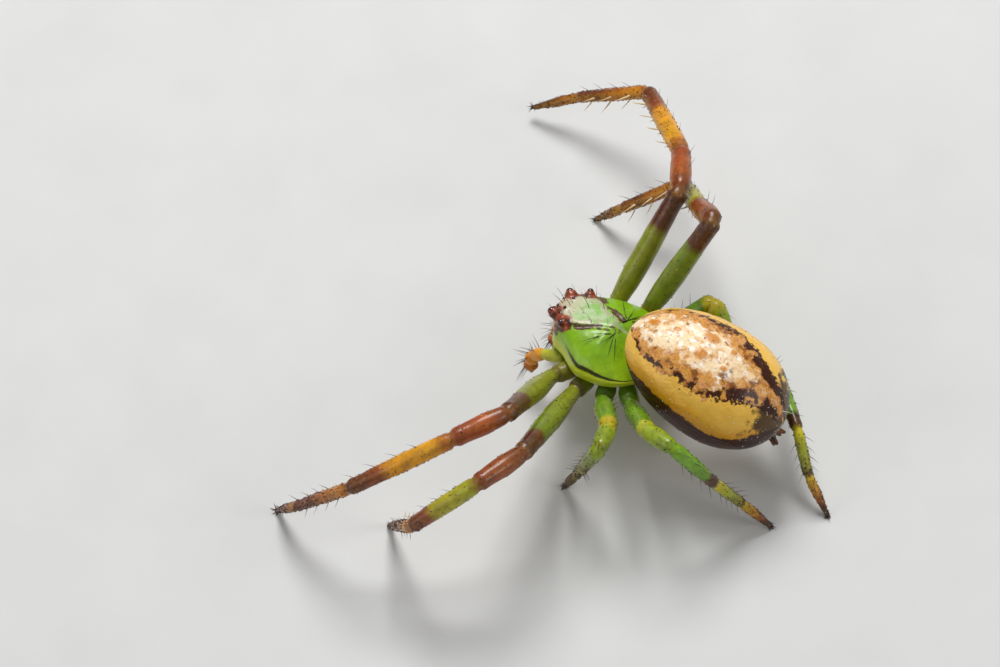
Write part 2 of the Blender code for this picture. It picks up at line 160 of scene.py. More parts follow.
LIP_WIDTH = 0.07

# Palps and jaws, on the left of the body frame
PALP_JOINTS = ((1.28, 0.70, -0.40), (1.88, 0.74, -0.50), (2.26, 0.66, -0.80), (2.42, 0.60, -1.10),
               (2.44, 0.54, -1.52))
PALP_RADII = ((0.14, 0.17, 0.16), (0.17, 0.18, 0.17), (0.17, 0.19, 0.18), (0.18, 0.21, 0.07))

JAW = ((1.42, 0.30, -0.18), (1.66, 0.29, -0.60), (1.79, 0.26, -1.00))
JAW_RADII = ((0.24, 0.27, 0.25), (0.25, 0.23, 0.13))
FANG = ((1.80, 0.25, -1.06), (1.82, 0.16, -1.14), (1.80, 0.07, -1.13))
FANG_RADII = (0.055, 0.040, 0.008)

# Eyes: place on the left of the body frame, radius of the lens and of the mound it stands on
EYE_STAND_OUT = 0.10
MEDIAN_STAND_OUT = 0.055
LENS_SHARE = 0.92
MOUND_REACH = 0.20
MOUND_WAIST = 0.09
MOUND_BLUR = 0.09
SIDE_EYES = {
    "front": ((1.710, 0.382, 0.770), 0.125, 0.180),
    "rear": ((1.270, 0.630, 0.790), 0.105, 0.155),
}
MEDIAN_EYES = {
    "front": ((1.740, 0.130, 0.760), 0.050, 0.060),
    "rear": ((1.480, 0.190, 0.870), 0.048, 0.058),
}

# View of the photograph, in degrees and millimetres, with what the camera clips in metres
VIEW_AZIMUTH = 128.04
VIEW_ELEVATION = 55.45
VIEW_ROLL = 6.9
PIXELS_PER_MM = 38.24
PICTURE_SIZE = (1000, 667)
BODY_PIXEL = (619.34, 339.08)
VIEW_TARGET = (0.0, 0.0, 2.39)
LENS = 800.0
SENSOR = 36.0
NEAREST = 0.01
FARTHEST = 10.0


def linear(colour):
    """An sRGB hex colour as linear red, green, blue and a full alpha."""
    parts = [int(colour[i:i + 2], 16) / 255 for i in (1, 3, 5)]
    return tuple(p / 12.92 if p <= 0.04045 else ((p + 0.055) / 1.055) ** 2.4 for p in parts) + (1.0,)


# Short words for nodes, each with its type and the settings that all of its uses share. STEP runs
# smoothly from 0 at one value to 1 at another, MARK and STORED read what a mesh has at each point.
NODES = {
    "STEP": ("ShaderNodeMapRange", {"interpolation_type": "SMOOTHSTEP"}),
    "BLEND": ("ShaderNodeMix", {"data_type": "RGBA"}),
    "MARK": ("ShaderNodeAttribute", {}),
    "NOISE": ("ShaderNodeTexNoise", {}),
    "CELLS": ("ShaderNodeTexVoronoi", {}),
    "SOFT_CELLS": ("ShaderNodeTexVoronoi", {"feature": "SMOOTH_F1"}),
    "RAMP": ("ShaderNodeValToRGB", {}),
    "CURVE": ("ShaderNodeFloatCurve", {}),
    "STORE": ("GeometryNodeStoreNamedAttribute", {}),
    "STORED": ("GeometryNodeInputNamedAttribute", {"data_type": "FLOAT"}),
}
for operation in ("ADD", "SUBTRACT", "MULTIPLY", "DIVIDE", "MULTIPLY_ADD", "MAXIMUM", "ABSOLUTE",
                  "LESS_THAN"):
    NODES[operation] = ("ShaderNodeMath", {"operation": operation})


def add(tree, kind, *values, inputs=(), stops=(), points=(), **settings):
    """Adds a node. Values go to its open inputs in order, and those in inputs by name. A value is plain,
    a hex colour, a socket, or a node that stands for its first open output. Stops shape a colour ramp
    and points a curve."""
    kind, shared = NODES.get(kind, (kind, {}))
    made = tree.nodes.new(kind)
    for name, value in {**shared, **settings}.items():
        setattr(made, name, value)
    in_order = zip([socket for socket in made.inputs if socket.enabled], values)
    by_name = [(made.inputs[name], value) for name, value in dict(inputs).items()]
    for socket, value in [*in_order, *by_name]:
        if isinstance(value, bpy.types.Node):
            value = next(output for output in value.outputs if output.enabled)
        if isinstance(value, bpy.types.NodeSocket):
            tree.links.new(value, socket)
        else:
            socket.default_value = linear(value) if str(value).startswith("#") else value
    if stops:
        band = made.color_ramp.elements
        while len(band) < len(stops):
            band.new(0.5)
        for element, (place, colour) in zip(band, stops):
            element.position = place
            element.color = linear(colour)
    if points:
        line = made.mapping.curves[0].points
        while len(line) < len(points):
            line.new(0.5, 0.5)
        for point, place in zip(line, points):
            point.location = place
        made.mapping.update()
    return made


def smoothstep(value):
    value = np.clip(value, 0.0, 1.0)
    return value * value * (3.0 - 2.0 * value)


# From the level frame of the carapace to the standing body, in millimetres
BODY_TURN = Matrix.Rotation(BODY_PITCH, 4, "Y") @ Matrix.Rotation(BODY_ROLL, 4, "X")
BODY = Matrix.Translation(BODY_PLACE) @ BODY_TURN


def mirrored(point, side):
    return Vector((point[0], point[1] * side, point[2]))


def eye_centre(place, side):
    """Where a side eye's lens is centred, a little out of its mound, in the body frame."""
    centre = mirrored(place, side)
    return centre + Vector((centre.x * 0.35, centre.y * 1.2, 0.55)).normalized() * EYE_STAND_OUT


def frame_place():
    """From millimetres in the spider's own frame to metres in the shared frame, found from one eye."""
    low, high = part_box("eye_left_rear")
    own = BODY @ eye_centre(SIDE_EYES["rear"][0], 1)
    return Matrix.Translation((low + high) / 2 - own * MM) @ Matrix.Scale(MM, 4)


PLACE = frame_place()


def settle(name, mesh, finish, nodes):
    """A finished piece: its mesh in place in metres, riding on the body, and flat where hairs meet
    the floor."""
    mesh.transform(PLACE)
    for vertex in mesh.vertices:
        vertex.co.z = max(vertex.co.z, 0.0)
    mesh.materials.clear()
    mesh.materials.append(finish)
    mesh.shade_smooth()
    piece = bpy.data.objects.new(name, mesh)
    bpy.context.scene.collection.objects.link(piece)
    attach(piece, "root")
    if nodes:
        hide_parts(*nodes)


def bench(mesh):
    """A passing object that carries a mesh while modifiers work on it."""
    made = bpy.data.objects.new("bench", mesh)
    bpy.context.scene.collection.objects.link(made)
    return made


def take(source):
    """The mesh of a passing object with its modifiers applied, and the object removed."""
    bpy.context.view_layer.update()
    mesh = bpy.data.meshes.new_from_object(source.evaluated_get(bpy.context.evaluated_depsgraph_get()))
    bpy.data.objects.remove(source, do_unlink=True)
    return mesh


def float_attribute(mesh, name, values):
    layer = mesh.attributes.new(name, "FLOAT", "POINT")
    layer.data.foreach_set("value", np.asarray(values, dtype=np.float32))


def read_attribute(mesh, name):
    values = np.empty(len(mesh.vertices), dtype=np.float32)
    mesh.attributes[name].data.foreach_get("value", values)
    return values


def vector_attribute(mesh, name, values):
    layer = mesh.attributes.new(name, "FLOAT_VECTOR", "POINT")
    layer.data.foreach_set("vector", np.asarray(values, dtype=np.float32).ravel())


def points_of(mesh):
    flat = np.empty(len(mesh.vertices) * 3, dtype=np.float32)
    mesh.vertices.foreach_get("co", flat)
    return flat.reshape(-1, 3).astype(float)


def tube(rings, ends, wraps):
    """A closed skin over rings of points, with a point at each end and an unwrap round and along it."""
    count = len(rings[0])
    flat = [tuple(ends[0])] + [tuple(p) for ring in rings for p in ring] + [tuple(ends[1])]
    faces, uvs = [], []
    last = len(flat) - 1
    total = len(rings)
    for k in range(count):
        m = (k + 1) % count
        left, right = k / count, (k + 1) / count
        faces.append((0, 1 + m, 1 + k))
        uvs += [((left + right) / 2, wraps[0]), (right, wraps[0]), (left, wraps[0])]
        for r in range(total - 1):
            low = 1 + r * count
            high = low + count
            faces.append((low + k, low + m, high + m, high + k))
            uvs += [(left, wraps[r]), (right, wraps[r]), (right, wraps[r + 1]), (left, wraps[r + 1])]
        end = 1 + (total - 1) * count
        faces.append((end + k, end + m, last))
        uvs += [(left, wraps[-1]), (right, wraps[-1]), ((left + right) / 2, wraps[-1])]
    mesh = bpy.data.meshes.new("tube")
    mesh.from_pydata(flat, [], faces)
    layer = mesh.uv_layers.new(name="OFBake")
    layer.data.foreach_set("uv", np.asarray(uvs, dtype=np.float32).ravel())
    return mesh


def direction(heading, rise):
    heading, rise = math.radians(heading), math.radians(rise)
    return Vector((math.cos(rise) * math.cos(heading), math.cos(rise) * math.sin(heading), math.sin(rise)))


def leg_joints(side_name, number):
    """The hip, the five joints and the tip of a leg, in millimetres."""
    side = 1 if side_name == "left" else -1
    joints = [BODY @ mirrored(point, side) for point in HIPS[number]]
    headings, rises = LEG_POSES[(side_name, number)]
    for i, length in enumerate(SEGMENT_LENGTHS[number]):
        standing = i == len(rises)
        rise = math.degrees(math.asin((FOOT_HEIGHT - joints[-1].z) / length)) if standing else rises[i]
        joints.append(joints[-1] + direction(headings[i], rise) * length)
    return joints


def limb_path(joints, rounding):
    """Points along a jointed limb with its bends rounded, each with how far along it is in segments."""
    path = []
    for i in range(len(joints) - 1):
        start, end = joints[i], joints[i + 1]
        span = (end - start).length
        soft = min(rounding, span * 0.4)
        first = 0.0 if i == 0 else soft / span
        final = 1.0 if i == len(joints) - 2 else 1.0 - soft / span
        steps = max(2, round(span * (final - first) / RING_STEP))
        for k in range(steps + (i == len(joints) - 2)):
            share = first + (final - first) * k / steps
            path.append((start.lerp(end, share), i + share))
        if i < len(joints) - 2:
            after = joints[i + 2]
            reach = (after - end).length
            out = min(rounding, reach * 0.4)
            a, c = start.lerp(end, final), end.lerp(after, out / reach)
            for k in range(KNEE_STEPS):
                t = k / KNEE_STEPS
                point = a.lerp(end, t).lerp(end.lerp(c, t), t)
                low, high = i + final, i + 1 + out / reach
                along = low + (i + 1 - low) * t * 2 if t < 0.5 else i + 1 + (high - i - 1) * (t * 2 - 1)
                path.append((point, along))
    return path


def segment_girth(along, radii, lengths):
    """The radius of a limb: full in each segment, drawn in at its joints, with a lip before each."""
    i = min(int(along), len(radii) - 1)
    share = along - i
    start, middle, end = radii[i]
    if share < WIDEST_SHARE:
        radius = start + (middle - start) * float(smoothstep(share / WIDEST_SHARE))
    else:
        radius = middle + (end - middle) * float(smoothstep((share - WIDEST_SHARE) / (1.0 - WIDEST_SHARE)))
    before, after = share * lengths[i], (1.0 - share) * lengths[i]
    neck = NECK_DEPTH * math.exp(-((before / NECK_AFTER_JOINT) ** 2)) * (i > 0)
    neck += NECK_DEPTH * math.exp(-((after / NECK_BEFORE_JOINT) ** 2)) * (i < len(radii) - 1)
    lip = LIP_HEIGHT * math.exp(-(((after - LIP_PLACE) / LIP_WIDTH) ** 2)) * (i < len(radii) - 1)
    return radius * (1.0 - neck + lip)


def spans(joints):
    return [(b - a).length for a, b in zip(joints, joints[1:])]


def bend_plane(joints):
    """The direction across the plane in which a limb bends, beyond its first segment."""
    ways = [(b - a).normalized() for a, b in zip(joints, joints[1:])]
    bending = ways[1:] if len(ways) > 2 else ways
    plane = sum((a.cross(b) for a, b in zip(bending, bending[1:])), Vector((0.0, 0.0, 0.0)))
    return plane.normalized() if plane.length > TINY else ways[0].orthogonal().normalized()


def cross_frame(centres, k, plane):
    """At one point of a limb: the way it runs, and across and under it."""
    way = (centres[min(k + 1, len(centres) - 1)] - centres[max(k - 1, 0)]).normalized()
    across = (plane - way * plane.dot(way)).normalized()
    return way, across, across.cross(way)


def unwrap_share(along, total):
    """Where a place along a limb lies up its unwrap."""
    return 0.02 + 0.96 * along / total


def limb_skin(joints, radii, sides, rounding=KNEE_ROUNDING):
    """One skin over a jointed limb, with how far along and how far round each point is."""
    path = limb_path(joints, rounding)
    plane, lengths = bend_plane(joints), spans(joints)
    rings, alongs, rounds, distal = [], [], [], []
    centres = [centre for centre, _along in path]
    for r, (centre, along) in enumerate(path):
        way, across, under = cross_frame(centres, r, plane)
        radius = segment_girth(along, radii, lengths)
        ring = []
        for k in range(sides):
            turn = math.tau * k / sides
            out = -under * math.cos(turn) + across * math.sin(turn) * LIMB_FLATNESS
            ring.append(centre + out * radius)
            alongs.append(along)
            rounds.append(math.cos(turn))
            distal.append(way)
        rings.append(ring)
    first, final = (joints[1] - joints[0]).normalized(), (joints[-1] - joints[-2]).normalized()
    tips = (
        centres[0] - first * segment_girth(path[0][1], radii, lengths) * 0.5,
        centres[-1] + final * segment_girth(path[-1][1] - 1e-6, radii, lengths) * 0.8,
    )
    mesh = tube(rings, tips, [unwrap_share(along, len(radii)) for _centre, along in path])
    float_attribute(mesh, "along", [0.0] + alongs + [float(len(radii))])
    float_attribute(mesh, "back", [1.0] + rounds + [1.0])
    vector_attribute(mesh, "distal", [first] + distal + [final])
    return mesh


def roughen(mesh, depth, size, seed):
    """Moves each point along its normal by smooth noise, so that no surface is a bare formula."""
    mesh.update()
    offset = Vector((seed * 7.1, seed * 3.3, seed * 5.7))
    normals = [vertex.normal.copy() for vertex in mesh.vertices]
    for vertex, normal in zip(mesh.vertices, normals):
        vertex.co += normal * depth * noise.noise(vertex.co / size + offset)


def carapace_half_width(x):
    """The plan of the carapace: round behind, drawn in to the head in front."""
    x = np.asarray(x, dtype=float)
    reach, flatness = REAR_CURVES
    behind = np.clip(1.0 - np.abs(x / CARAPACE_REAR) ** reach, 0.0, 1.0) ** (1 / flatness)
    waist = smoothstep((x - NECK_START) / NECK_LENGTH)
    half = CARAPACE_HALF_WIDTH + (HEAD_HALF_WIDTH - CARAPACE_HALF_WIDTH) * waist
    nose = np.clip((x - NOSE_START) / (CARAPACE_FRONT - NOSE_START), 0.0, 1.0)
    return np.where(x < 0.0, CARAPACE_HALF_WIDTH * behind, half * np.sqrt(1.0 - nose**NOSE_CURVE))


def carapace_height(x):
    """The profile of the carapace: high over the middle, falling behind and a little at the face."""
    rear = smoothstep((x - CARAPACE_REAR) / REAR_SLOPE)
    face = smoothstep((x - FACE_START) / (CARAPACE_FRONT - FACE_START))
    back = THORAX_HEIGHT * (REAR_HEIGHT_SHARE + (1.0 - REAR_HEIGHT_SHARE) * rear)
    return back + (FACE_HEIGHT - THORAX_HEIGHT) * face


def carapace_box(x):
    """How square a section of the carapace is: a plain ellipse behind, a block at the head."""
    return SECTION_CURVE + HEAD_SQUARENESS * float(smoothstep((x - NECK_START) / NECK_LENGTH))


def ball(centre, radii, segments=24, rings=16):
    """A ball, or an egg with three radii, closed at its poles."""
    work = bmesh.new()
    bmesh.ops.create_uvsphere(work, u_segments=segments, v_segments=rings, radius=1.0)
    radii = (radii, radii, radii) if isinstance(radii, float) else radii
    bmesh.ops.transform(work, verts=work.verts,
                        matrix=Matrix.Translation(centre) @ Matrix.Diagonal((*radii, 1.0)))
    mesh = bpy.data.meshes.new("ball")
    work.to_mesh(mesh)
    work.free()
    return mesh


def joined(meshes):
    """All the meshes as one."""
    work = bmesh.new()
    for mesh in meshes:
        work.from_mesh(mesh)
    made = bpy.data.meshes.new("joined")
    work.to_mesh(made)
    work.free()
    return made


def one_skin(meshes, grain, smoothing):
    """One even skin over overlapping closed forms, with the creases between them softened."""
    carrier = bench(joined(meshes))
    remesh = carrier.modifiers.new("Remesh", "REMESH")
    remesh.mode = "VOXEL"
    remesh.voxel_size = grain
    soft = carrier.modifiers.new("Smooth", "SMOOTH")
    soft.factor = 0.5
    soft.iterations = smoothing
    return take(carrier)


def cut(mesh, other):
    """A mesh less what another encloses."""
    carrier, tool = bench(mesh), bench(other)
    boolean = carrier.modifiers.new("Cut", "BOOLEAN")
    boolean.operation = "DIFFERENCE"
    boolean.object = tool
    boolean.solver = "EXACT"
    made = take(carrier)
    bpy.data.objects.remove(tool, do_unlink=True)
    return made


def flat_unwrap(mesh):
    """An unwrap by the surface's own shape: the upper side in one disc and the under side in another."""
    layer = mesh.uv_layers.new(name="OFBake")
    points = points_of(mesh)
    low, high = points.min(0), points.max(0)
    plan = (points[:, :2] - low[:2]) / (high[:2] - low[:2]).max()
    uvs = np.zeros((len(mesh.loops), 2), dtype=np.float32)
    for face in mesh.polygons:
        shift = 0.0 if face.normal.z > 0.0 else 0.5
        for loop in face.loop_indices:
            x, y = plan[mesh.loops[loop].vertex_index]
            uvs[loop] = (UNWRAP_MARGIN + shift + x * UNWRAP_SPAN, UNWRAP_MARGIN + y * UNWRAP_SPAN)
    layer.data.foreach_set("uv", uvs.ravel())


# From the abdomen's own length, width and height to the standing body, in millimetres
ABDOMEN_TURN = Matrix.Rotation(ABDOMEN_YAW, 4, "Z") @ Matrix.Rotation(-ABDOMEN_PITCH, 4, "Y")
ABDOMEN = Matrix.Translation(ABDOMEN_CENTRE) @ ABDOMEN_TURN


def abdomen_girth(along):
    """The share of its full girth that the abdomen has, from -1 at its rear to 1 at its blunt front."""
    bluntness = ABDOMEN_BLUNTNESS if along > 0.0 else 2
    return math.sqrt(max(0.0, 1.0 - abs(along)**bluntness)) * (1.0 - ABDOMEN_TAPER * along)


def egg_skin(rings=150, sides=200, swell=0.0):
    """The skin of the abdomen, with where each point lies along it and round it from the back."""
    circles, alongs, turns, wraps = [], [], [], []
    for r in range(rings):
        along = math.cos(math.pi * (r + 0.7) / (rings + 0.4))
        girth = abdomen_girth(along)
        circle = []
        for k in range(sides):
            turn = math.tau * (k / sides - 0.5)
            pinch = 1.0 + 0.012 * math.cos(turn * 2) * (1 - along**2)
            y = math.sin(turn) * girth * (ABDOMEN_HALF_WIDTH + swell) * pinch
            z = math.cos(turn) * girth * (ABDOMEN_HALF_HEIGHT + swell)
            circle.append(Vector((along * (ABDOMEN_HALF_LENGTH + swell), y, z)))
            alongs.append(along)
            turns.append(turn / math.pi)
        circles.append(list(reversed(circle)))
        wraps.append(0.5 - 0.48 * along)
    tips = (Vector((ABDOMEN_HALF_LENGTH + swell, 0, 0)), Vector((-ABDOMEN_HALF_LENGTH - swell, 0, 0)))
    mesh = tube(circles, tips, wraps)
    signed = np.array(turns).reshape(rings, sides)[:, ::-1].ravel()
    float_attribute(mesh, "along", [1.0] + alongs + [-1.0])
    float_attribute(mesh, "round", np.concatenate([[0.0], signed, [0.0]]))
    return mesh


# Dimples over the muscles of the back: place along, place round in half turns, half length and width
SIGILLA = (
    (0.80, -0.035, 0.075, 0.035), (0.55, -0.030, 0.045, 0.020),
    (0.17, -0.072, 0.110, 0.038), (0.18, 0.045, 0.095, 0.036),
    (-0.12, -0.060, 0.045, 0.018), (-0.12, 0.050, 0.045, 0.018),
)


def shape_abdomen(mesh):
    """Sinks the dimples, folds the flanks and gives the skin its fine unevenness."""
    alongs, rounds = read_attribute(mesh, "along"), read_attribute(mesh, "round")
    mesh.update()
    normals = [vertex.normal.copy() for vertex in mesh.vertices]
    for vertex, normal, along, turn in zip(mesh.vertices, normals, alongs, rounds):
        depth = 0.0
        for place, side, length, width in SIGILLA:
            near = ((along - place) / length) ** 2 + ((turn - side) / width) ** 2
            depth -= DIMPLE_DEPTH * math.exp(-near)
        flank = math.exp(-(((abs(turn) - FLANK_PLACE) / FLANK_SPREAD) ** 2))
        fold = math.sin(abs(turn) * FLANK_FOLDS + 2.5 * noise.noise(vertex.co * 1.3))
        depth += FOLD_DEPTH * flank * fold * (1.0 - along**2)
        depth += sum(height * noise.noise(vertex.co * rate) for height, rate in ABDOMEN_SWELLS)
        vertex.co += normal * depth


def carapace_skin():
    """The shield of the front of the body, with the mounds of its eyes, its furrows and its rim."""
    stations, steps = 46, 40
    rings = []
    for i in range(stations):
        share = 0.5 - 0.5 * math.cos(math.pi * (i + 0.35) / (stations - 0.3))
        x = CARAPACE_REAR + (CARAPACE_FRONT - CARAPACE_REAR) * share
        half = max(float(carapace_half_width(x)), 0.08)
        height = float(carapace_height(x))
        box = carapace_box(x)
        ring = []
        for k in range(steps + 1):
            turn = math.pi * k / steps
            side = math.cos(turn)
            y = half * math.copysign(abs(side) ** (2.0 / box), side)
            ring.append(Vector((x, y, height * abs(math.sin(turn)) ** (2.0 / box))))
        ring += [Vector((x, half * (2 * k / 12 - 1) * 0.95, -RIM_THICKNESS)) for k in range(13)]
        rings.append(ring)
    low = (rings[0][0] + rings[0][steps]) / 2
    high = (rings[-1][0] + rings[-1][steps]) / 2
    shell = tube(rings, (low, high), [i / stations for i in range(stations)])
    forms = [shell]
    for side in (1, -1):
        for eyes in (SIDE_EYES, MEDIAN_EYES):
            forms += [ball(mirrored(place, side), mound) for place, _lens, mound in eyes.values()]
    mesh = one_skin(forms, CARAPACE_GRAIN, 5)
    carve_carapace(mesh)
    mesh.transform(BODY)
    egg = egg_skin(60, 80, WAIST_ROOM)
    egg.transform(ABDOMEN)
    mesh = cut(mesh, egg)
    return mark_carapace(mesh)


def carve_carapace(mesh):
    """The furrow round the head, the pit and the spokes behind it, and the raised rim."""
    mesh.update()
    normals = [vertex.normal.copy() for vertex in mesh.vertices]
    for vertex, normal in zip(mesh.vertices, normals):
        x, y, z = vertex.co
        half = max(float(carapace_half_width(x)), NARROWEST)
        flank = abs(y) / half
        top = float(smoothstep((z - 0.10) / 0.25))
        head_edge = 0.16 + 0.55 * float(smoothstep((x + 0.3) / 1.6))
        furrow = math.exp(-(((abs(y) - head_edge) / 0.07) ** 2)) * float(smoothstep((x + 0.35) / 0.5))
        furrow *= 1.0 - float(smoothstep((x - 0.9) / 0.4))
        spoke = math.cos(SPOKE_RATE * math.atan2(abs(y), 0.10 - x)) ** 2
        spokes = spoke * float(smoothstep((flank - 0.2) / 0.3)) * float(smoothstep((0.95 - flank) / 0.2))
        pit = math.exp(-((x + 0.15) / 0.16) ** 2 - (y / 0.05) ** 2)
        rim = math.exp(-(((flank - 0.985) / 0.03) ** 2)) * float(smoothstep((0.2 - z) / 0.15))
        depth = RIM_RISE * rim - (FURROW_DEPTH * furrow + SPOKE_DEPTH * spokes + PIT_DEPTH * pit) * top
        depth += UNEVENNESS * noise.noise(vertex.co * 6.0)
        vertex.co += normal * depth


def mark_carapace(mesh):
    """Records, on each point, where it lies on the level carapace and how near it is to an eye."""
    back = BODY.inverted()
    local = np.array([back @ vertex.co for vertex in mesh.vertices])
    inside = np.clip(local[:, 0], CARAPACE_REAR + 0.01, CARAPACE_FRONT - 0.01)
    half = np.maximum(carapace_half_width(inside), NARROWEST)
    mounds = np.zeros(len(local))
    for side in (1, -1):
        front, rear = (np.array(mirrored(SIDE_EYES[row][0], side)) for row in ("front", "rear"))
        for share in np.linspace(0.0, 1.0, 7):
            mound = MOUND_REACH - MOUND_WAIST * math.sin(math.pi * share)
            gap = np.linalg.norm(local - (front * (1.0 - share) + rear * share), axis=1) - mound
            mounds = np.maximum(mounds, 1.0 - smoothstep(gap / MOUND_BLUR))
    float_attribute(mesh, "fore", local[:, 0])
    float_attribute(mesh, "side", local[:, 1])
    float_attribute(mesh, "level", local[:, 2])
    float_attribute(mesh, "flank", np.abs(local[:, 1]) / half)
    float_attribute(mesh, "mound", mounds)
    flat_unwrap(mesh)
    return mesh


# The forms under the shield, as places, radii and counts of faces round and up: the wall, the plate
# between the coxae, the lip and the face, and the blade beside the mouth on each side
UNDERSIDE_FORMS = (
    ((0.02, 0.0, -0.25), (1.06, 1.02, 0.27), 36, 20),
    ((-0.02, 0.0, -0.42), (0.78, 0.60, 0.25), 32, 16),
    ((0.92, 0.0, -0.50), (0.32, 0.20, 0.17), 20, 12),
    ((1.26, 0.0, -0.02), (0.36, 0.52, 0.44), 24, 16),
)
BLADE_PLACE = (1.06, 0.42, -0.56)
BLADE_RADII = (0.36, 0.17, 0.15)
BLADE_TURN = 0.5


def underside_skin():
    """The soft wall between the shield and the legs, the plate between the coxae, and the lip."""
    forms = [ball(place, radii, segments, rings) for place, radii, segments, rings in UNDERSIDE_FORMS]
    for side in (1, -1):
        blade = ball((0.0, 0.0, 0.0), BLADE_RADII, 20, 12)
        place = Matrix.Translation(mirrored(BLADE_PLACE, side))
        blade.transform(place @ Matrix.Rotation(-BLADE_TURN * side, 4, "Z"))
        forms.append(blade)
    mesh = one_skin(forms, UNDERSIDE_GRAIN, 4)
    roughen(mesh, 0.010, 0.25, 4)
    mesh.transform(BODY)
    flat_unwrap(mesh)
    return mesh


def jaw_skin(side):
    """One chelicera: a stout base that narrows downwards to the root of its fang."""
    joints = [BODY @ mirrored(point, side) for point in JAW]
    mesh = limb_skin(joints, JAW_RADII, 28, 0.16)
    roughen(mesh, 0.010, 0.20, 9)
    return mesh


def fang(side):
    """A short dark fang that folds inwards under its jaw."""
    return tapered([BODY @ mirrored(point, side) for point in FANG], FANG_RADII)


def tapered(points, radii, sides=8):
    """A bent spike through a few points."""
    rings = []
    for i, (point, radius) in enumerate(zip(points, radii)):
        way = (points[min(i + 1, len(points) - 1)] - points[max(i - 1, 0)]).normalized()
        across = way.orthogonal().normalized()
        up = way.cross(across)
        turns = [math.tau * k / sides for k in range(sides)]
        rings.append([point + (across * math.cos(turn) + up * math.sin(turn)) * radius for turn in turns])
    return tube(rings, (points[0], points[-1] + way * radii[-1]),
                [i / len(points) for i in range(len(points))])


CLAW_SPREAD = 0.035
CLAW_RADII = (0.026, 0.020, 0.005)
CLAW_CLEARANCE = 0.010


def claws(joints):
    """The pair of small dark claws at the tip of a leg."""
    tip, way = joints[-1], (joints[-1] - joints[-2]).normalized()
    across = Vector((0, 0, 1)).cross(way).normalized()
    made = []
    for side in (1, -1):
        root = tip + across * CLAW_SPREAD * side
        middle = root + way * 0.085 + Vector((0, 0, 0.012))
        end = middle + way * 0.055 - Vector((0, 0, 0.055))
        end.z = max(end.z, CLAW_CLEARANCE)
        made.append(tapered([root, middle, end], CLAW_RADII, 6))
    return joined(made)


def shade(tree, inputs):
    """The shader and the output that every material ends in."""
    add(tree, "ShaderNodeOutputMaterial", add(tree, "ShaderNodeBsdfPrincipled", inputs=inputs))


def shade_cuticle(tree, place, colour, roughness, gloss, grain, strength, depth, coat_roughness=0.16):
    """What all of the spider's hard skin shares. Its relief is a fine netted grain, with its size
    and depth in millimetres."""
    bumps = add(tree, "NOISE", place, 1 / (grain * MM), 4.0)
    scales = add(tree, "SOFT_CELLS", place, 1.4 / (grain * MM))
    height = add(tree, "MULTIPLY_ADD", bumps, 0.7, scales)
    relief = add(tree, "ShaderNodeBump",
                 inputs={"Height": height, "Strength": strength, "Distance": depth * MM})
    shade(tree, {
        "Base Color": colour, "Normal": relief, "Roughness": roughness, "IOR": 1.5,
        "Specular IOR Level": 0.26, "Coat Weight": gloss, "Coat Roughness": coat_roughness,
        "Subsurface Weight": 0.15, "Subsurface Radius": (0.9, 0.7, 0.25), "Subsurface Scale": 0.12 * MM,
    })


def new_material(name):
    """An empty material, its tree, and the place of each point in it."""
    made = bpy.data.materials.new(name)
    made.use_nodes = True
    made.node_tree.nodes.clear()
    return made, made.node_tree, add(made.node_tree, "ShaderNodeTexCoord").outputs["Object"]


def mask(tree, *rules):
    """Where all of the rules hold. A rule is a value from 0 to 1, or a value and where it starts
    and ends its smooth run from 0 to 1."""
    product = None
    for rule in rules:
        rule = add(tree, "STEP", *rule) if isinstance(rule, tuple) else rule
        product = rule if product is None else add(tree, "MULTIPLY", product, rule)
    return product


def paint(tree, ground, colour, *rules):
    """A colour laid over a ground where the rules hold."""
    return add(tree, "BLEND", mask(tree, *rules), ground, colour)


def speckle(tree, place, spacing, size, ragged):
    """Sparse round dots, a spacing apart in millimetres and of a size in millimetres."""
    cells = add(tree, "CELLS", place, 1 / (spacing * MM))
    radius = add(tree, "MULTIPLY_ADD", ragged, 0.4 * size / spacing, 0.8 * size / spacing)
    return add(tree, "LESS_THAN", cells, radius)


def leg_cuticle(name, bands, dots):
    """Cuticle, the horn-like skin of a spider: translucent, a little glossy, banded along each leg."""
    made, tree, place = new_material(name)
    mottle = add(tree, "NOISE", place, 1 / (0.30 * MM), 5.0)
    edge = add(tree, "NOISE", place, 1 / (0.12 * MM), 3.0)
    along, back = (add(tree, "MARK", attribute_name=word).outputs["Fac"] for word in ("along", "back"))
    wavy = add(tree, "MULTIPLY_ADD", edge, 0.10, add(tree, "SUBTRACT", along, 0.05))
    stops = [(segment / LEG_PARTS, colour) for segment, colour in bands]
    banded = add(tree, "RAMP", add(tree, "DIVIDE", wavy, LEG_PARTS), stops=stops)
    shaded = paint(tree, paint(tree, banded, "#3A2404", 0.30), banded, (mottle, 0.35, 0.65))
    shaded = paint(tree, shaded, paint(tree, banded, "#F0B030", 0.25), (edge, 0.50, 0.66), 0.30)
    # Painted highlight: a faint pale sheen laid along the upper side of each leg and palp
    shaded = paint(tree, shaded, "#E8DCA8", (back, 0.2, 1.0), 0.04)
    # Painted glow: the under side of each leg and palp is warmed towards gold, as light shining through the
    # cuticle would do
    shaded = paint(tree, shaded, "#D89A00", (back, 0.1, -0.7), 0.30)
    shaded = paint(tree, shaded, "#2A1204", speckle(tree, place, 0.34, 0.030, edge), dots)
    shade_cuticle(tree, place, shaded, 0.33, 0.22, 0.06, 0.30, 0.008)
    return made


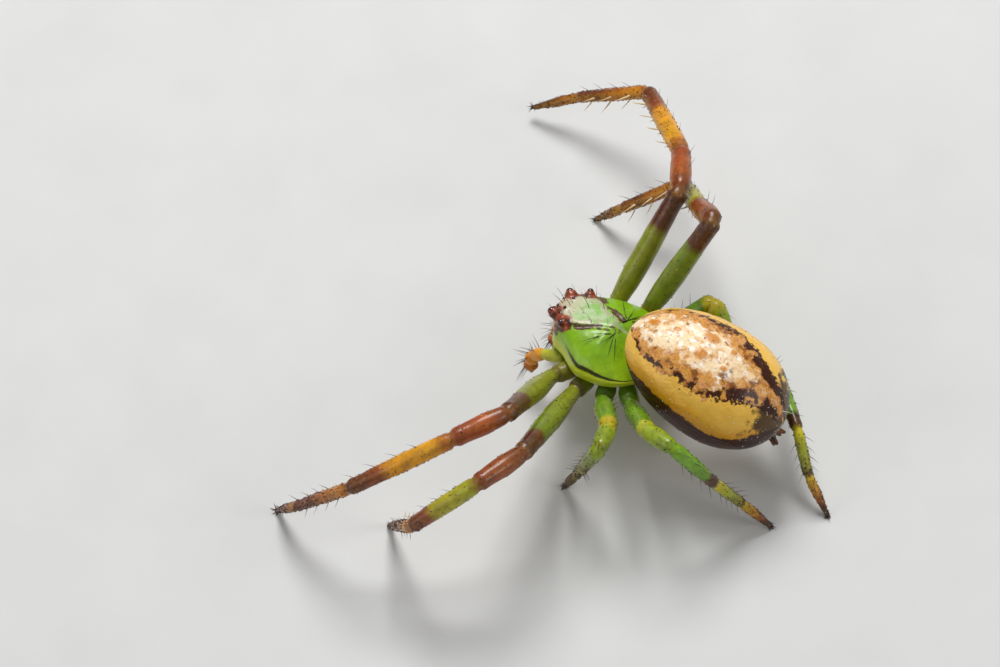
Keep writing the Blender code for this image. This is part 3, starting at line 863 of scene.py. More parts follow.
def mottled_back(tree, place, grains, along, below):
    """The back: cream with white flecks, clouded with amber that thickens towards the flanks and behind."""
    coarse, middling, fine = grains
    drift = add(tree, "NOISE", place, 1 / (0.5 * MM), 2.0).outputs["Color"]
    warp = add(tree, "ShaderNodeVectorMath", drift, (0.35 * MM,) * 3, place, operation="MULTIPLY_ADD")
    flecks = add(tree, "MULTIPLY_ADD", fine, -0.7, add(tree, "SOFT_CELLS", warp, 1 / (0.15 * MM)))
    back = paint(tree, "#F4D9B0", "#F0C990", (coarse, 0.40, 0.60))
    back = paint(tree, back, "#FFF4E6", (flecks, 0.10, -0.16))
    flank_amber = add(tree, "STEP", below, -0.19, -0.05)
    behind_amber = add(tree, "STEP", along, 0.10, -0.85)
    clouds = add(tree, "ADD", add(tree, "NOISE", warp, 1 / (0.42 * MM), 6.0, 0.68),
                 add(tree, "MULTIPLY_ADD", flank_amber, 0.22, add(tree, "MULTIPLY", behind_amber, 0.10)))
    amber = paint(tree, "#B4660A", "#DE9C22", (fine, 0.35, 0.65))
    back = paint(tree, back, amber, (clouds, 0.50, 0.66), 0.88)
    dusk = add(tree, "MULTIPLY_ADD", behind_amber, 0.10,
               add(tree, "MULTIPLY_ADD", flank_amber, 0.10, middling))
    back = paint(tree, back, "#6C3006", (dusk, 0.60, 0.74), 0.80)
    back = paint(tree, back, "#7C5048", (add(tree, "MULTIPLY_ADD", coarse, 0.15, fine), 0.66, 0.74), 0.55)
    return back


def dimples(tree, fine, along, turn):
    """Where the dimples of the back are, with ragged edges. They are a clear orange."""
    dimple = 0.0
    for place_along, place_round, length, width in SIGILLA:
        a = add(tree, "DIVIDE", add(tree, "SUBTRACT", along, place_along), length)
        b = add(tree, "DIVIDE", add(tree, "SUBTRACT", turn, place_round), width)
        spread = add(tree, "MULTIPLY_ADD", a, a, add(tree, "MULTIPLY", b, b))
        spot = add(tree, "STEP", add(tree, "MULTIPLY_ADD", fine, 1.1, spread), 1.75, 0.85)
        dimple = add(tree, "MAXIMUM", dimple, spot)
    return dimple


def abdomen_cuticle():
    """Soft, stretched skin over white and amber guts: glossy, finely wrinkled and richly mottled."""
    made, tree, place = new_material("mottled_soft_cuticle")
    coarse = add(tree, "NOISE", place, 1 / (0.75 * MM), 3.0)
    middling = add(tree, "NOISE", place, 1 / (0.30 * MM), 5.0)
    fine = add(tree, "NOISE", place, 1 / (0.09 * MM), 4.0)
    along, turn = (add(tree, "MARK", attribute_name=word).outputs["Fac"] for word in ("along", "round"))
    around = add(tree, "ABSOLUTE", turn)
    stagger = add(tree, "MULTIPLY_ADD", fine, 0.085, add(tree, "MULTIPLY_ADD", middling, 0.11, -0.0975))
    share = add(tree, "MULTIPLY_ADD", along, 0.5, 0.5)

    # How far round the edge of the back and the edge of the belly lie, from the rear end to the front
    line = add(tree, "CURVE", 1.0, share, points=(
        (0.0, 0.12), (0.10, 0.125), (0.2, 0.135), (0.31, 0.185), (0.43, 0.225), (0.53, 0.245), (0.64, 0.245),
        (0.77, 0.265), (0.89, 0.275), (1.0, 0.20)))
    edge = add(tree, "CURVE", 1.0, share, points=(
        (0.0, 0.18), (0.07, 0.30), (0.15, 0.39), (0.28, 0.435), (0.52, 0.42), (0.68, 0.43), (0.81, 0.45),
        (0.94, 0.60), (1.0, 0.70)))
    below = add(tree, "SUBTRACT", add(tree, "ADD", around, stagger), line)
    under = add(tree, "SUBTRACT", add(tree, "MULTIPLY_ADD", stagger, 0.45, around), edge)

    back = mottled_back(tree, place, (coarse, middling, fine), along, below)
    back = paint(tree, back, "#CC7E0A", dimples(tree, fine, along, turn), 0.85)

    # The torn brown line at the edge of the back, heavier behind
    behind = add(tree, "STEP", along, 0.30, -0.55)
    width = add(tree, "MULTIPLY_ADD", behind, -0.050, -0.030)
    broken = add(tree, "MULTIPLY_ADD", behind, 0.07, middling)
    back = paint(tree, back, "#341004", (below, add(tree, "ADD", width, -0.016), width),
                 (below, 0.018, 0.004), (broken, 0.44, 0.52), 0.96)

    # The smooth ochre flank with a few dots, and the dark striped belly
    ochre = paint(tree, "#EFBE50", "#D29206", (under, -0.16, 0.0))
    ochre = paint(tree, ochre, "#E0A020", (middling, 0.45, 0.62), 0.25)
    ochre = paint(tree, ochre, "#6A3408", speckle(tree, place, 0.62, 0.050, fine), 0.8)
    whole = paint(tree, back, ochre, (below, -0.004, 0.012))
    lengthwise = add(tree, "ShaderNodeCombineXYZ", along, around)
    stripes = add(tree, "ShaderNodeTexWave", lengthwise, 9.0, 3.0, 3.0, bands_direction="Y").outputs["Fac"]
    belly = paint(tree, "#2E0E02", "#6A300A", (stripes, 0.6, 1.0), 0.45)
    belly = paint(tree, belly, "#B98A30", (add(tree, "SUBTRACT", around, edge), 0.20, 0.42))
    whole = paint(tree, whole, belly, (under, -0.006, 0.010))

    # Dark patches gather over the rear end, and dark pinpricks are strewn over the back
    rear = add(tree, "SUBTRACT", add(tree, "MULTIPLY", middling, 0.60), along)
    whole = paint(tree, whole, "#2E1003", (rear, 0.97, 1.06), (around, 0.04, 0.14), 0.92)
    whole = paint(tree, whole, "#4A2410", speckle(tree, place, 0.26, 0.026, fine), (below, 0.02, -0.02),
                  0.85)
    shade_cuticle(tree, place, whole, 0.34, 0.14, 0.09, 0.55, 0.020)
    return made


def carapace_cuticle():
    """Glossy green cuticle with a painted reflection, a pale band down the middle of its top, a brown line
    at its rim and red mounds.
    """
    made, tree, place = new_material("green_shield_cuticle")
    middling = add(tree, "NOISE", place, 1 / (0.22 * MM), 5.0)
    fine = add(tree, "NOISE", place, 1 / (0.07 * MM), 4.0)
    words = ("fore", "side", "level", "flank", "mound")
    marks = [add(tree, "MARK", attribute_name=word).outputs["Fac"] for word in words]
    fore, side, level, flank, mound = marks
    green = paint(tree, "#A6C81C", "#82B00E", (level, 0.05, 0.70))
    green = paint(tree, green, paint(tree, green, "#5C8C06", 0.35), (middling, 0.35, 0.70))

    # The painted reflection, a pale band along the top, narrows from the rear eyes to the back
    share = add(tree, "MULTIPLY_ADD", fore, 1 / 3.0, 0.44)
    reflection_half_width = add(tree, "CURVE", 1.0, share, points=(
        (0.0, 0.03), (0.35, 0.05), (0.44, 0.12), (0.50, 0.21), (0.61, 0.31), (0.64, 0.40), (0.76, 0.54),
        (0.88, 0.60), (1.0, 0.66)))
    loose = add(tree, "MULTIPLY_ADD", middling, 0.12, add(tree, "MULTIPLY_ADD", fine, 0.08, -0.10))
    into = add(tree, "SUBTRACT", reflection_half_width, add(tree, "ADD", add(tree, "ABSOLUTE", side), loose))
    top = add(tree, "STEP", level, 0.30, 0.45)
    # Painted reflection: pale grey-green, pinker towards the face, with brown flecks and a duller edge, laid
    # on the top only
    painted_reflection = paint(tree, "#92C06C", "#BCD0A6", (middling, 0.42, 0.60))
    painted_reflection = paint(tree, painted_reflection, "#DCC4BC", (fore, 0.85, 1.45), 0.75)
    painted_reflection = paint(tree, painted_reflection, "#8A5A50", (fine, 0.60, 0.68), 0.8)
    painted_reflection = paint(tree, painted_reflection, "#B8A090", (into, 0.24, 0.06), (middling, 0.36, 0.52), 0.75)
    colour = paint(tree, green, painted_reflection, (into, -0.01, 0.05), top, 0.85)

    # A broken purple-brown line along the edge of the painted reflection
    wide = add(tree, "MULTIPLY_ADD", middling, -0.36, -0.015)
    broken = add(tree, "MULTIPLY_ADD", fore, 0.10, middling)
    purple = paint(tree, "#3A1712", "#6A3A3C", (fine, 0.4, 0.6))
    colour = paint(tree, colour, purple, (into, wide, add(tree, "ADD", wide, 0.03)), (into, 0.015, -0.01),
                   (broken, 0.42, 0.52), top, (fore, -0.30, -0.05), 0.92)

    # The brown line just inside the rim, and the rim itself
    wander = add(tree, "MULTIPLY_ADD", fine, 0.012, flank)
    colour = paint(tree, colour, "#2C1404", (wander, 0.935, 0.95), (wander, 0.985, 0.970),
                   (level, 0.50, 0.35), 0.95)
    outside = add(tree, "MAXIMUM", mask(tree, (wander, 0.975, 0.99), (level, 0.35, 0.20)),
                  add(tree, "STEP", level, 0.0, -0.05))
    colour = paint(tree, colour, "#B9C422", outside)

    # Dots on the flanks, and the warm brown of the face and the eye mounds
    colour = paint(tree, colour, "#24300A", speckle(tree, place, 0.42, 0.032, fine), (flank, 0.9, 0.8), 0.8)
    colour = paint(tree, colour, "#B08468", (fore, 1.45, 1.72), (fine, 0.30, 0.60), 0.6)
    red = paint(tree, "#4A1406", "#96360F", (middling, 0.40, 0.58))
    red = paint(tree, red, "#B87E60", (middling, 0.56, 0.68))
    colour = paint(tree, colour, red, mound, 0.95)
    shade_cuticle(tree, place, colour, 0.36, 0.40, 0.07, 0.40, 0.010)
    return made


def plain_cuticle(name, first, second, third, roughness=0.35):
    """Unbanded cuticle that drifts between three near shades."""
    made, tree, place = new_material(name)
    drift = add(tree, "NOISE", place, 1 / (0.35 * MM), 5.0)
    colour = add(tree, "RAMP", drift, stops=((0.35, first), (0.50, second), (0.66, third)))
    shade_cuticle(tree, place, colour, roughness, 0.3, 0.06, 0.35, 0.008)
    return made


def eye_cornea():
    """The clear dome of a simple eye over its dark cup: wet black-red with a sharp highlight."""
    made, tree, place = new_material("eye_cornea")
    depth = add(tree, "NOISE", place, 1 / (0.15 * MM), 2.0)
    colour = add(tree, "RAMP", depth, stops=((0.35, "#170403"), (0.55, "#4A0D05"), (0.70, "#7E2408")))
    shade_cuticle(tree, place, colour, 0.10, 1.0, 0.20, 0.05, 0.002, coat_roughness=0.03)
    return made


def hair_material(name, dark, clear, roughness):
    """Chitin hair, darker here and clearer there."""
    made, tree, place = new_material(name)
    drift = add(tree, "NOISE", place, 1 / (0.5 * MM), 2.0)
    colour = add(tree, "RAMP", drift, stops=((0.35, dark), (0.65, clear)))
    shade(tree, {"Base Color": colour, "Roughness": roughness, "Subsurface Weight": 0.1,
                 "Subsurface Scale": 0.05 * MM})
    return made


def bristle_sockets(tree):
    """The inputs and the output of a tree that grows hairs, with each input's identifier by its name."""
    sockets = {}
    for name, kind, default in (
        ("Geometry", "NodeSocketGeometry", None), ("Per square mm", "NodeSocketFloat", 10.0),
        ("Shortest", "NodeSocketFloat", 0.1), ("Longest", "NodeSocketFloat", 0.2),
        ("Slenderness", "NodeSocketFloat", 0.05), ("Lean", "NodeSocketFloat", 0.5),
        ("Stray", "NodeSocketFloat", 0.2), ("Bend", "NodeSocketFloat", 0.2),
        ("Seed", "NodeSocketInt", 1), ("Finish", "NodeSocketMaterial", None),
    ):
        socket = tree.interface.new_socket(name=name, in_out="INPUT", socket_type=kind)
        if default is not None:
            socket.default_value = default
        sockets[name] = socket.identifier
    tree.interface.new_socket(name="Geometry", in_out="OUTPUT", socket_type="NodeSocketGeometry")
    return sockets


def one_hair(tree, given):
    """A hair of length 1 that bends and grows thinner towards its tip."""
    line = add(tree, "GeometryNodeCurvePrimitiveLine", (0, 0, -0.06), (0, 0, 1))
    line = add(tree, "GeometryNodeResampleCurve", line, inputs={"Count": 5})
    share = add(tree, "GeometryNodeSplineParameter")
    aside = add(tree, "MULTIPLY", add(tree, "MULTIPLY", share, share), given["Bend"])
    sideways = add(tree, "ShaderNodeCombineXYZ", aside)
    line = add(tree, "GeometryNodeSetPosition", line, inputs={"Offset": sideways})
    thin = add(tree, "MULTIPLY", add(tree, "MULTIPLY_ADD", share, -0.88, 1.0), given["Slenderness"])
    line = add(tree, "STORE", line, True, "up", share, data_type="FLOAT", domain="POINT")
    ring = add(tree, "GeometryNodeCurvePrimitiveCircle", 3, 1.0)
    return add(tree, "GeometryNodeCurveToMesh", line, ring, thin, True)


def bristle_tree(scatter):
    """A tree that grows tapered, bent hairs, either scattered over a skin or one on each given root."""
    tree = bpy.data.node_groups.new("grow_bristles" if scatter else "plant_bristles", "GeometryNodeTree")
    sockets = bristle_sockets(tree)
    given = add(tree, "NodeGroupInput").outputs

    # Where the hairs stand and which way they grow
    distal = add(tree, "STORED", "distal", data_type="FLOAT_VECTOR")
    if scatter:
        density = add(tree, "MULTIPLY", add(tree, "STORED", "hairy"), given["Per square mm"])
        points = add(tree, "GeometryNodeDistributePointsOnFaces", given["Geometry"],
                     inputs={"Density": density, "Seed": given["Seed"]})
        upright = add(tree, "SUBTRACT", 1.0, given["Lean"])
        out = add(tree, "ShaderNodeVectorMath", points.outputs["Normal"], upright, operation="SCALE")
    else:
        points = add(tree, "GeometryNodeMeshToPoints", given["Geometry"])
        out = add(tree, "STORED", "out", data_type="FLOAT_VECTOR")
    along = add(tree, "ShaderNodeVectorMath", distal, given["Lean"], operation="SCALE")
    any_way = add(tree, "FunctionNodeRandomValue", (-1, -1, -1), (1, 1, 1), inputs={"Seed": given["Seed"]},
                  data_type="FLOAT_VECTOR")
    stray = add(tree, "ShaderNodeVectorMath", any_way, given["Stray"], operation="SCALE")
    way = add(tree, "ShaderNodeVectorMath", out, along, operation="ADD")
    way = add(tree, "ShaderNodeVectorMath", way, stray, operation="ADD")
    aim = add(tree, "FunctionNodeAlignRotationToVector", inputs={"Vector": way}, axis="Z")
    aim = add(tree, "FunctionNodeAlignRotationToVector", aim, inputs={"Vector": distal}, axis="X",
              pivot_axis="Z")
    size = add(tree, "FunctionNodeRandomValue", given["Shortest"], given["Longest"],
               inputs={"Seed": given["Seed"]}, data_type="FLOAT")
    grown = add(tree, "GeometryNodeInstanceOnPoints", points,
                inputs={"Instance": one_hair(tree, given), "Rotation": aim, "Scale": size})
    real = add(tree, "GeometryNodeRealizeInstances", grown)

    # Each hair's patch on the unwrap of the skin, at its root's place
    root = add(tree, "STORED", "OFBake", data_type="FLOAT_VECTOR")
    turned = add(tree, "FunctionNodeRandomValue", 0.0, HAIR_PATCH, data_type="FLOAT")
    patch = add(tree, "ShaderNodeCombineXYZ", add(tree, "MULTIPLY", add(tree, "STORED", "up"), HAIR_PATCH),
                turned)
    patch = add(tree, "ShaderNodeVectorMath", root, patch, operation="ADD")
    real = add(tree, "STORE", real, True, "OFBake", patch, data_type="FLOAT2", domain="CORNER")
    real = add(tree, "GeometryNodeSetMaterial", real, inputs={"Material": given["Finish"]})
    add(tree, "NodeGroupOutput", real)
    return tree, sockets


SCATTERED = bristle_tree(True)
PLANTED = bristle_tree(False)


# Hairs by kind: how many to a square millimetre of fully hairy skin, or 0 where each has a root of its
# own, the shortest and longest in millimetres, slenderness, lean, stray and bend
HAIR_INPUTS = ("Per square mm", "Shortest", "Longest", "Slenderness", "Lean", "Stray", "Bend")
HAIRS = {
    "abdomen_pale": (20.0, 0.16, 0.32, 0.050, 0.40, 0.25, 0.25),
    "abdomen_dark": (9.0, 0.12, 0.30, 0.045, 0.40, 0.25, 0.25),
    "palp_pale": (45.0, 0.10, 0.22, 0.050, 0.50, 0.30, 0.20),
    "palp_bristle": (0.0, 0.30, 0.52, 0.030, 0.10, 0.15, 0.15),
    "head_bristle": (0.0, 0.28, 0.50, 0.028, 0.00, 0.12, 0.25),
    "face_bristle": (0.0, 0.24, 0.40, 0.040, 0.00, 0.12, 0.50),
    "shield_bristle": (0.0, 0.40, 0.62, 0.030, 0.00, 0.03, 0.05),
    "leg_pale": (12.0, 0.09, 0.20, 0.065, 0.50, 0.25, 0.20),
    "leg_brown": (110.0, 0.13, 0.29, 0.080, 0.42, 0.25, 0.20),
    "leg_bristle": (0.0, 0.22, 0.36, 0.036, 0.00, 0.10, 0.20),
    "leg_spine": (0.0, 0.34, 0.44, 0.085, 0.00, 0.06, 0.15),
}


def grow(name, kind, skin, finish, seed):
    """A piece of hairs, grown on a skin that is still in millimetres, or on roots."""
    carrier = bench(skin)
    modifier = carrier.modifiers.new("Bristles", "NODES")
    modifier.node_group, sockets = SCATTERED if HAIRS[kind][0] else PLANTED
    for words, value in (*zip(HAIR_INPUTS, HAIRS[kind]), ("Seed", seed), ("Finish", finish)):
        modifier[sockets[words]] = value
    mesh = take(carrier)
    for spare in ("up", "distal", "hairy", "along", "back", "out"):
        if spare in mesh.attributes:
            mesh.attributes.remove(mesh.attributes[spare])
    settle(name, mesh, finish, ())


def roots(places):
    """Bare points for planted bristles. Each is a place, the way it grows, the way it bends and its
    place on the unwrap."""
    mesh = bpy.data.meshes.new("roots")
    stands, ways, bends, wraps = zip(*places)
    mesh.from_pydata([tuple(stand) for stand in stands], [], [])
    vector_attribute(mesh, "out", [tuple(way) for way in ways])
    vector_attribute(mesh, "distal", [tuple(bend) for bend in bends])
    vector_attribute(mesh, "OFBake", [(*wrap, 0.0) for wrap in wraps])
    return mesh


# How hairy each segment of a leg or palp is, from its root to its tip, in shares of the kind's number
FRONT_HAIRINESS = (0.05, 0.08, 0.10, 0.30, 1.1, 2.2)
PALP_HAIRINESS = (0.25, 0.6, 0.9, 1.0)
REAR_HAIRINESS = (0.05, 0.10, 0.20, 0.50, 1.2, 2.2)


def mark_hairy(mesh, shares):
    """Records how hairy each point of a limb is, from the share in the middle of each segment."""
    middles = np.arange(len(shares)) + 0.5
    float_attribute(mesh, "hairy", np.interp(read_attribute(mesh, "along"), middles, shares))


# Rows of bristles along a limb: the segment, the first and last share of it, how many, the turn from
# the back in degrees, and the lean towards the tip
PALP_BRISTLE_ROWS = (
    (1, 0.2, 0.9, 2, 20, 0.4), (1, 0.2, 0.9, 2, -40, 0.4), (2, 0.1, 0.9, 3, 10, 0.5),
    (2, 0.1, 0.9, 3, -50, 0.5), (2, 0.1, 0.9, 3, 60, 0.5), (3, 0.1, 0.8, 4, 0, 0.7),
    (3, 0.1, 0.8, 4, 70, 0.7), (3, 0.1, 0.8, 4, -70, 0.7),
)
LEG_BRISTLE_ROWS = (
    (1, 0.10, 0.75, 4, 5, 0.6), (2, 0.3, 0.9, 2, 0, 0.6), (3, 0.1, 0.9, 4, 15, 0.7),
    (3, 0.2, 1.0, 4, -70, 0.7), (4, 0.1, 0.9, 4, 70, 0.8), (4, 0.2, 1.0, 4, -80, 0.8),
)
SPINE_ROWS = (
    (3, 0.10, 0.95, 4, 152, 0.75), (3, 0.16, 1.0, 4, -152, 0.75),
    (4, 0.08, 0.85, 3, 152, 0.8), (4, 0.14, 0.92, 3, -152, 0.8),
)


def limb_bristles(joints, radii, rows):
    """Places for planted bristles in rows along a limb."""
    path = limb_path(joints, KNEE_ROUNDING)
    plane, lengths = bend_plane(joints), spans(joints)
    centres, alongs = zip(*path)
    made = []
    for segment, first, final, count, turn, lean in rows:
        for i in range(count):
            along = segment + first + (final - first) * (i + 0.5) / count
            k = int(np.argmin(np.abs(np.array(alongs) - along)))
            way, across, under = cross_frame(centres, k, plane)
            angle = math.radians(turn)
            out = -under * math.cos(angle) + across * math.sin(angle)
            place = centres[k] + out * segment_girth(along, radii, lengths) * 0.93
            made.append((place, (out + way * lean).normalized(), way,
                         (0.5, unwrap_share(along, len(radii)))))
    return made


def main():
    # Chitin, which a spider's hairs, spines, fangs and claws are made of
    pale_hair = hair_material("pale_setae_chitin", "#D8CBA0", "#F2EAD0", 0.45)
    brown_hair = hair_material("brown_setae_chitin", "#170B04", "#4A2A10", 0.40)
    black_hair = hair_material("black_setae_chitin", "#120C0A", "#33251C", 0.35)
    spine_horn = hair_material("amber_spine_chitin", "#C9A46A", "#EAD9B0", 0.30)
    claw_horn = plain_cuticle("dark_claw_chitin", "#120A06", "#24130A", "#3A2012", 0.25)
    build_abdomen(pale_hair, brown_hair)
    build_front(pale_hair, black_hair, claw_horn)
    build_legs(pale_hair, brown_hair, black_hair, spine_horn, claw_horn)


def build_abdomen(pale_hair, brown_hair):
    skin = egg_skin()
    shape_abdomen(skin)
    along = read_attribute(skin, "along")
    rear = smoothstep((-along - 0.55) / 0.4)
    float_attribute(skin, "hairy", 0.30 + 0.70 * rear)
    skin.transform(ABDOMEN)
    backwards = ABDOMEN.to_3x3() @ Vector((-1, 0, 0.1))
    vector_attribute(skin, "distal", np.tile(backwards, (len(along), 1)))
    grow("abdomen_pale_hairs", "abdomen_pale", skin.copy(), pale_hair, 3)
    grow("abdomen_dark_hairs", "abdomen_dark", skin.copy(), brown_hair, 8)
    settle("abdomen_skin", skin, abdomen_cuticle(), ("abdomen",))
    stalk = [Vector(point) for point in STALK]
    # The softer skin of the waist
    olive = plain_cuticle("olive_joint_cuticle", "#7E8A1E", "#8E9A28", "#6A6A1C")
    settle("pedicel", limb_skin(stalk, STALK_RADII, 20, 0.1), olive, ())
    cones = []
    drop = abdomen_girth(SPINNERET_PLACE) * ABDOMEN_HALF_HEIGHT
    root = Vector((SPINNERET_PLACE * ABDOMEN_HALF_LENGTH, 0.0, -drop))
    outward = Vector((-0.90, 0.0, -0.44)).normalized()
    for side in (1, -1):
        for spread, drop, size in ((0.10, 0.06, 1.0), (0.09, -0.06, 0.9)):
            way = (outward + Vector((0.0, side * 0.35, drop * 3.0))).normalized()
            start = ABDOMEN @ (root + outward * 0.05 + Vector((0.0, side * spread, drop)))
            way = ABDOMEN.to_3x3() @ way
            joints = [start, start + way * 0.17 * size, start + way * 0.30 * size]
            cones.append(limb_skin(joints, SPINNERET_RADII, 14, 0.03))
    # The hard brown skin of the spinnerets
    brown = plain_cuticle("spinneret_cuticle", "#3A1A08", "#5A2C10", "#7E4A1A")
    settle("spinneret_cones", joined(cones), brown, ("spinnerets",))


def build_front(pale_hair, black_hair, claw_horn):
    settle("carapace_skin", carapace_skin(), carapace_cuticle(), ("carapace",))
    # The thin skin under the shield and of the chelicerae
    lime = plain_cuticle("lime_soft_cuticle", "#8FA81C", "#A9BE2A", "#7C9A14")
    settle("underside_skin", underside_skin(), lime, ("sternum",))
    cornea = eye_cornea()
    for side, side_name in SIDES:
        for pair, (place, lens, _mound) in SIDE_EYES.items():
            dome = ball(eye_centre(place, side), lens * LENS_SHARE)
            dome.transform(BODY)
            settle(f"eye_lens_{side_name}_{pair}", dome, cornea, (f"eye_{side_name}_{pair}",))
        for pair, (place, lens, _mound) in MEDIAN_EYES.items():
            middle = mirrored(place, side)
            dome = ball(middle + Vector((0.5, middle.y * 1.5, 0.75)).normalized() * MEDIAN_STAND_OUT, lens)
            dome.transform(BODY)
            settle(f"eye_lens_{side_name}_median_{pair}", dome, cornea, ())
        settle(f"jaw_{side_name}", jaw_skin(side), lime, (f"chelicera_{side_name}",))
        settle(f"fang_{side_name}", fang(side), claw_horn, ())
    build_palps(pale_hair, black_hair)
    build_face_bristles(pale_hair, black_hair)


PALP_BANDS = [
    (0.0, "#A8B81C"), (0.9, "#B8B81C"), (1.1, "#DC9408"), (2.2, "#E08A06"), (3.1, "#CC6C06"),
    (3.9, "#7A3408"), (5.9, "#5A2408"),
]


def build_palps(pale_hair, black_hair):
    amber = leg_cuticle("amber_palp_cuticle", PALP_BANDS, 0.0)
    for side, side_name in SIDES:
        joints = [BODY @ mirrored(point, side) for point in PALP_JOINTS]
        skin = limb_skin(joints, PALP_RADII, 20, 0.14)
        roughen(skin, 0.008, 0.15, 5 + side)
        mark_hairy(skin, PALP_HAIRINESS)
        grow(f"palp_{side_name}_pale_hairs", "palp_pale", skin.copy(), pale_hair, 12)
        bristles = roots(limb_bristles(joints, PALP_RADII, PALP_BRISTLE_ROWS))
        grow(f"palp_{side_name}_bristles", "palp_bristle", bristles, black_hair, 4)
        settle(f"palp_{side_name}_skin", skin, amber, (f"palp_{side_name}",))


# Long bristles on the left of the body frame. On the head: place and way. Lying on the flanks: from
# where to where. On the face: place
HEAD_BRISTLES = (
    ((1.66, 0.05), (0.6, 0.1, 1.0)), ((1.42, 0.06), (0.4, 0.1, 1.0)), ((1.20, 0.36), (0.3, 0.3, 1.0)),
    ((1.52, 0.40), (0.5, 0.4, 1.0)), ((0.96, 0.12), (0.2, 0.1, 1.0)), ((1.05, 0.58), (0.1, 0.7, 1.0)),
    ((0.60, 0.30), (0.1, 0.2, 1.0)), ((0.22, 0.12), (-0.3, 0.2, 1.0)),
)
FLANK_BRISTLES = (
    ((-0.06, 0.18), (-0.20, 0.62)), ((-0.16, 0.50), (-0.28, 0.92)), ((-0.21, 0.42), (-0.42, 0.82)),
    ((-0.02, 0.38), (0.16, 0.56)), ((0.20, 0.62), (0.36, 0.82)), ((-0.10, 0.30), (-0.05, 0.62)),
)
FACE_BRISTLES = ((1.78, 0.10), (1.76, 0.24), (1.70, 0.38), (1.60, 0.52), (1.46, 0.66))


def carapace_point(x, y, lift):
    """A point on the carapace, a little over or under its skin."""
    half = float(carapace_half_width(x))
    box = carapace_box(x)
    side = min(abs(y) / half, 0.999) ** (box / 2.0)
    return Vector((x, y, float(carapace_height(x)) * (1.0 - side**2) ** (1.0 / box) + lift))


def build_face_bristles(pale_hair, black_hair):
    upright, pale, lying = [], [], []
    turn = BODY.to_3x3()
    for side in (1, -1):
        for (x, y), way in HEAD_BRISTLES:
            place = BODY @ carapace_point(x, y * side, -0.02)
            way = turn @ mirrored(way, side).normalized()
            upright.append((place, way, Vector((1, 0, 0)), (0.3, 0.3)))
        for x, y in FACE_BRISTLES:
            way = turn @ Vector((1.0, y * side * 0.9, 0.25)).normalized()
            for z in (0.50, 0.18):
                place = BODY @ Vector((x, y * side, z)) - way * 0.04
                pale.append((place, way, Vector((0.2, 0, 1.0)), (0.3, 0.4)))
        for (x, y), (end_x, end_y) in FLANK_BRISTLES:
            start, end = carapace_point(x, y * side, 0.0), carapace_point(end_x, end_y * side, 0.05)
            way = turn @ (end - start)
            lying.append((BODY @ start, way.normalized(), way, (0.3, 0.3)))
    grow("head_bristles", "head_bristle", roots(upright), black_hair, 6)
    grow("face_bristles", "face_bristle", roots(pale), pale_hair, 7)
    grow("shield_bristles", "shield_bristle", roots(lying), black_hair, 8)


# Bands along each leg: where each colour lies, in segments from the coxa
BANDS = {
    1: [
        (0.0, "#5A3A10"), (0.55, "#86861A"), (1.0, "#6C6210"), (1.08, "#88920E"), (1.68, "#7C860A"),
        (1.73, "#561A04"), (1.96, "#481404"), (2.0, "#7C4A18"), (2.04, "#6E2A04"), (2.40, "#A84C0A"),
        (2.93, "#8E3408"), (3.0, "#94561C"), (3.06, "#B4640A"), (3.18, "#E09E08"), (3.58, "#DE9404"),
        (3.68, "#8A3A08"), (3.96, "#5C2204"), (4.01, "#A05A12"), (4.10, "#C87C0C"), (4.45, "#A85A08"),
        (4.62, "#6E2A08"), (4.95, "#6A2808"), (5.02, "#B87418"), (5.22, "#9C540C"), (5.50, "#6E3208"),
        (5.80, "#46200A"),
    ],
    2: [
        (0.0, "#6E8A14"), (0.55, "#7A8A16"), (0.94, "#4E3410"), (1.0, "#848C14"), (1.73, "#6E880E"),
        (1.78, "#561C05"), (1.96, "#441404"), (2.0, "#744818"), (2.04, "#682804"), (2.45, "#94440A"),
        (2.93, "#7E300A"), (3.0, "#8E6A1C"), (3.08, "#A8A810"), (3.60, "#B0A40C"), (3.70, "#8A3C0A"),
        (3.96, "#5E2406"), (4.01, "#A06418"), (4.08, "#C07C0C"), (4.50, "#9C560A"), (4.62, "#5E2606"),
        (4.94, "#6E2E08"), (5.02, "#B07C18"), (5.22, "#8A5410"), (5.50, "#5E300A"), (5.80, "#3C1E0A"),
    ],
    3: [
        (0.0, "#6E9A14"), (0.96, "#58860C"), (1.05, "#6C9A12"), (1.85, "#6A980E"), (1.97, "#C8B418"),
        (2.10, "#C6B012"), (2.40, "#86A010"), (2.94, "#7C900E"), (3.05, "#88A012"), (3.80, "#7C8A12"),
        (3.94, "#3A2A0C"), (4.03, "#8A8A1C"), (4.80, "#76701A"), (4.95, "#30200C"), (5.05, "#7A681E"),
        (5.6, "#4A3612"), (5.85, "#20140A"),
    ],
    4: [
        (0.0, "#6E9A14"), (0.96, "#58860C"), (1.05, "#70A010"), (1.86, "#6A980E"), (1.97, "#B4B82A"),
        (2.12, "#98AC1C"), (2.90, "#7A9A10"), (3.05, "#6EA60C"), (3.72, "#68A00C"), (3.80, "#3E1A0A"),
        (3.95, "#4A200A"), (4.02, "#C8B810"), (4.40, "#98A40E"), (4.84, "#88860E"), (4.93, "#3A1C0A"),
        (5.03, "#C8A810"), (5.35, "#C8880E"), (5.65, "#8A3E0C"), (5.88, "#2A120A"),
    ],
}


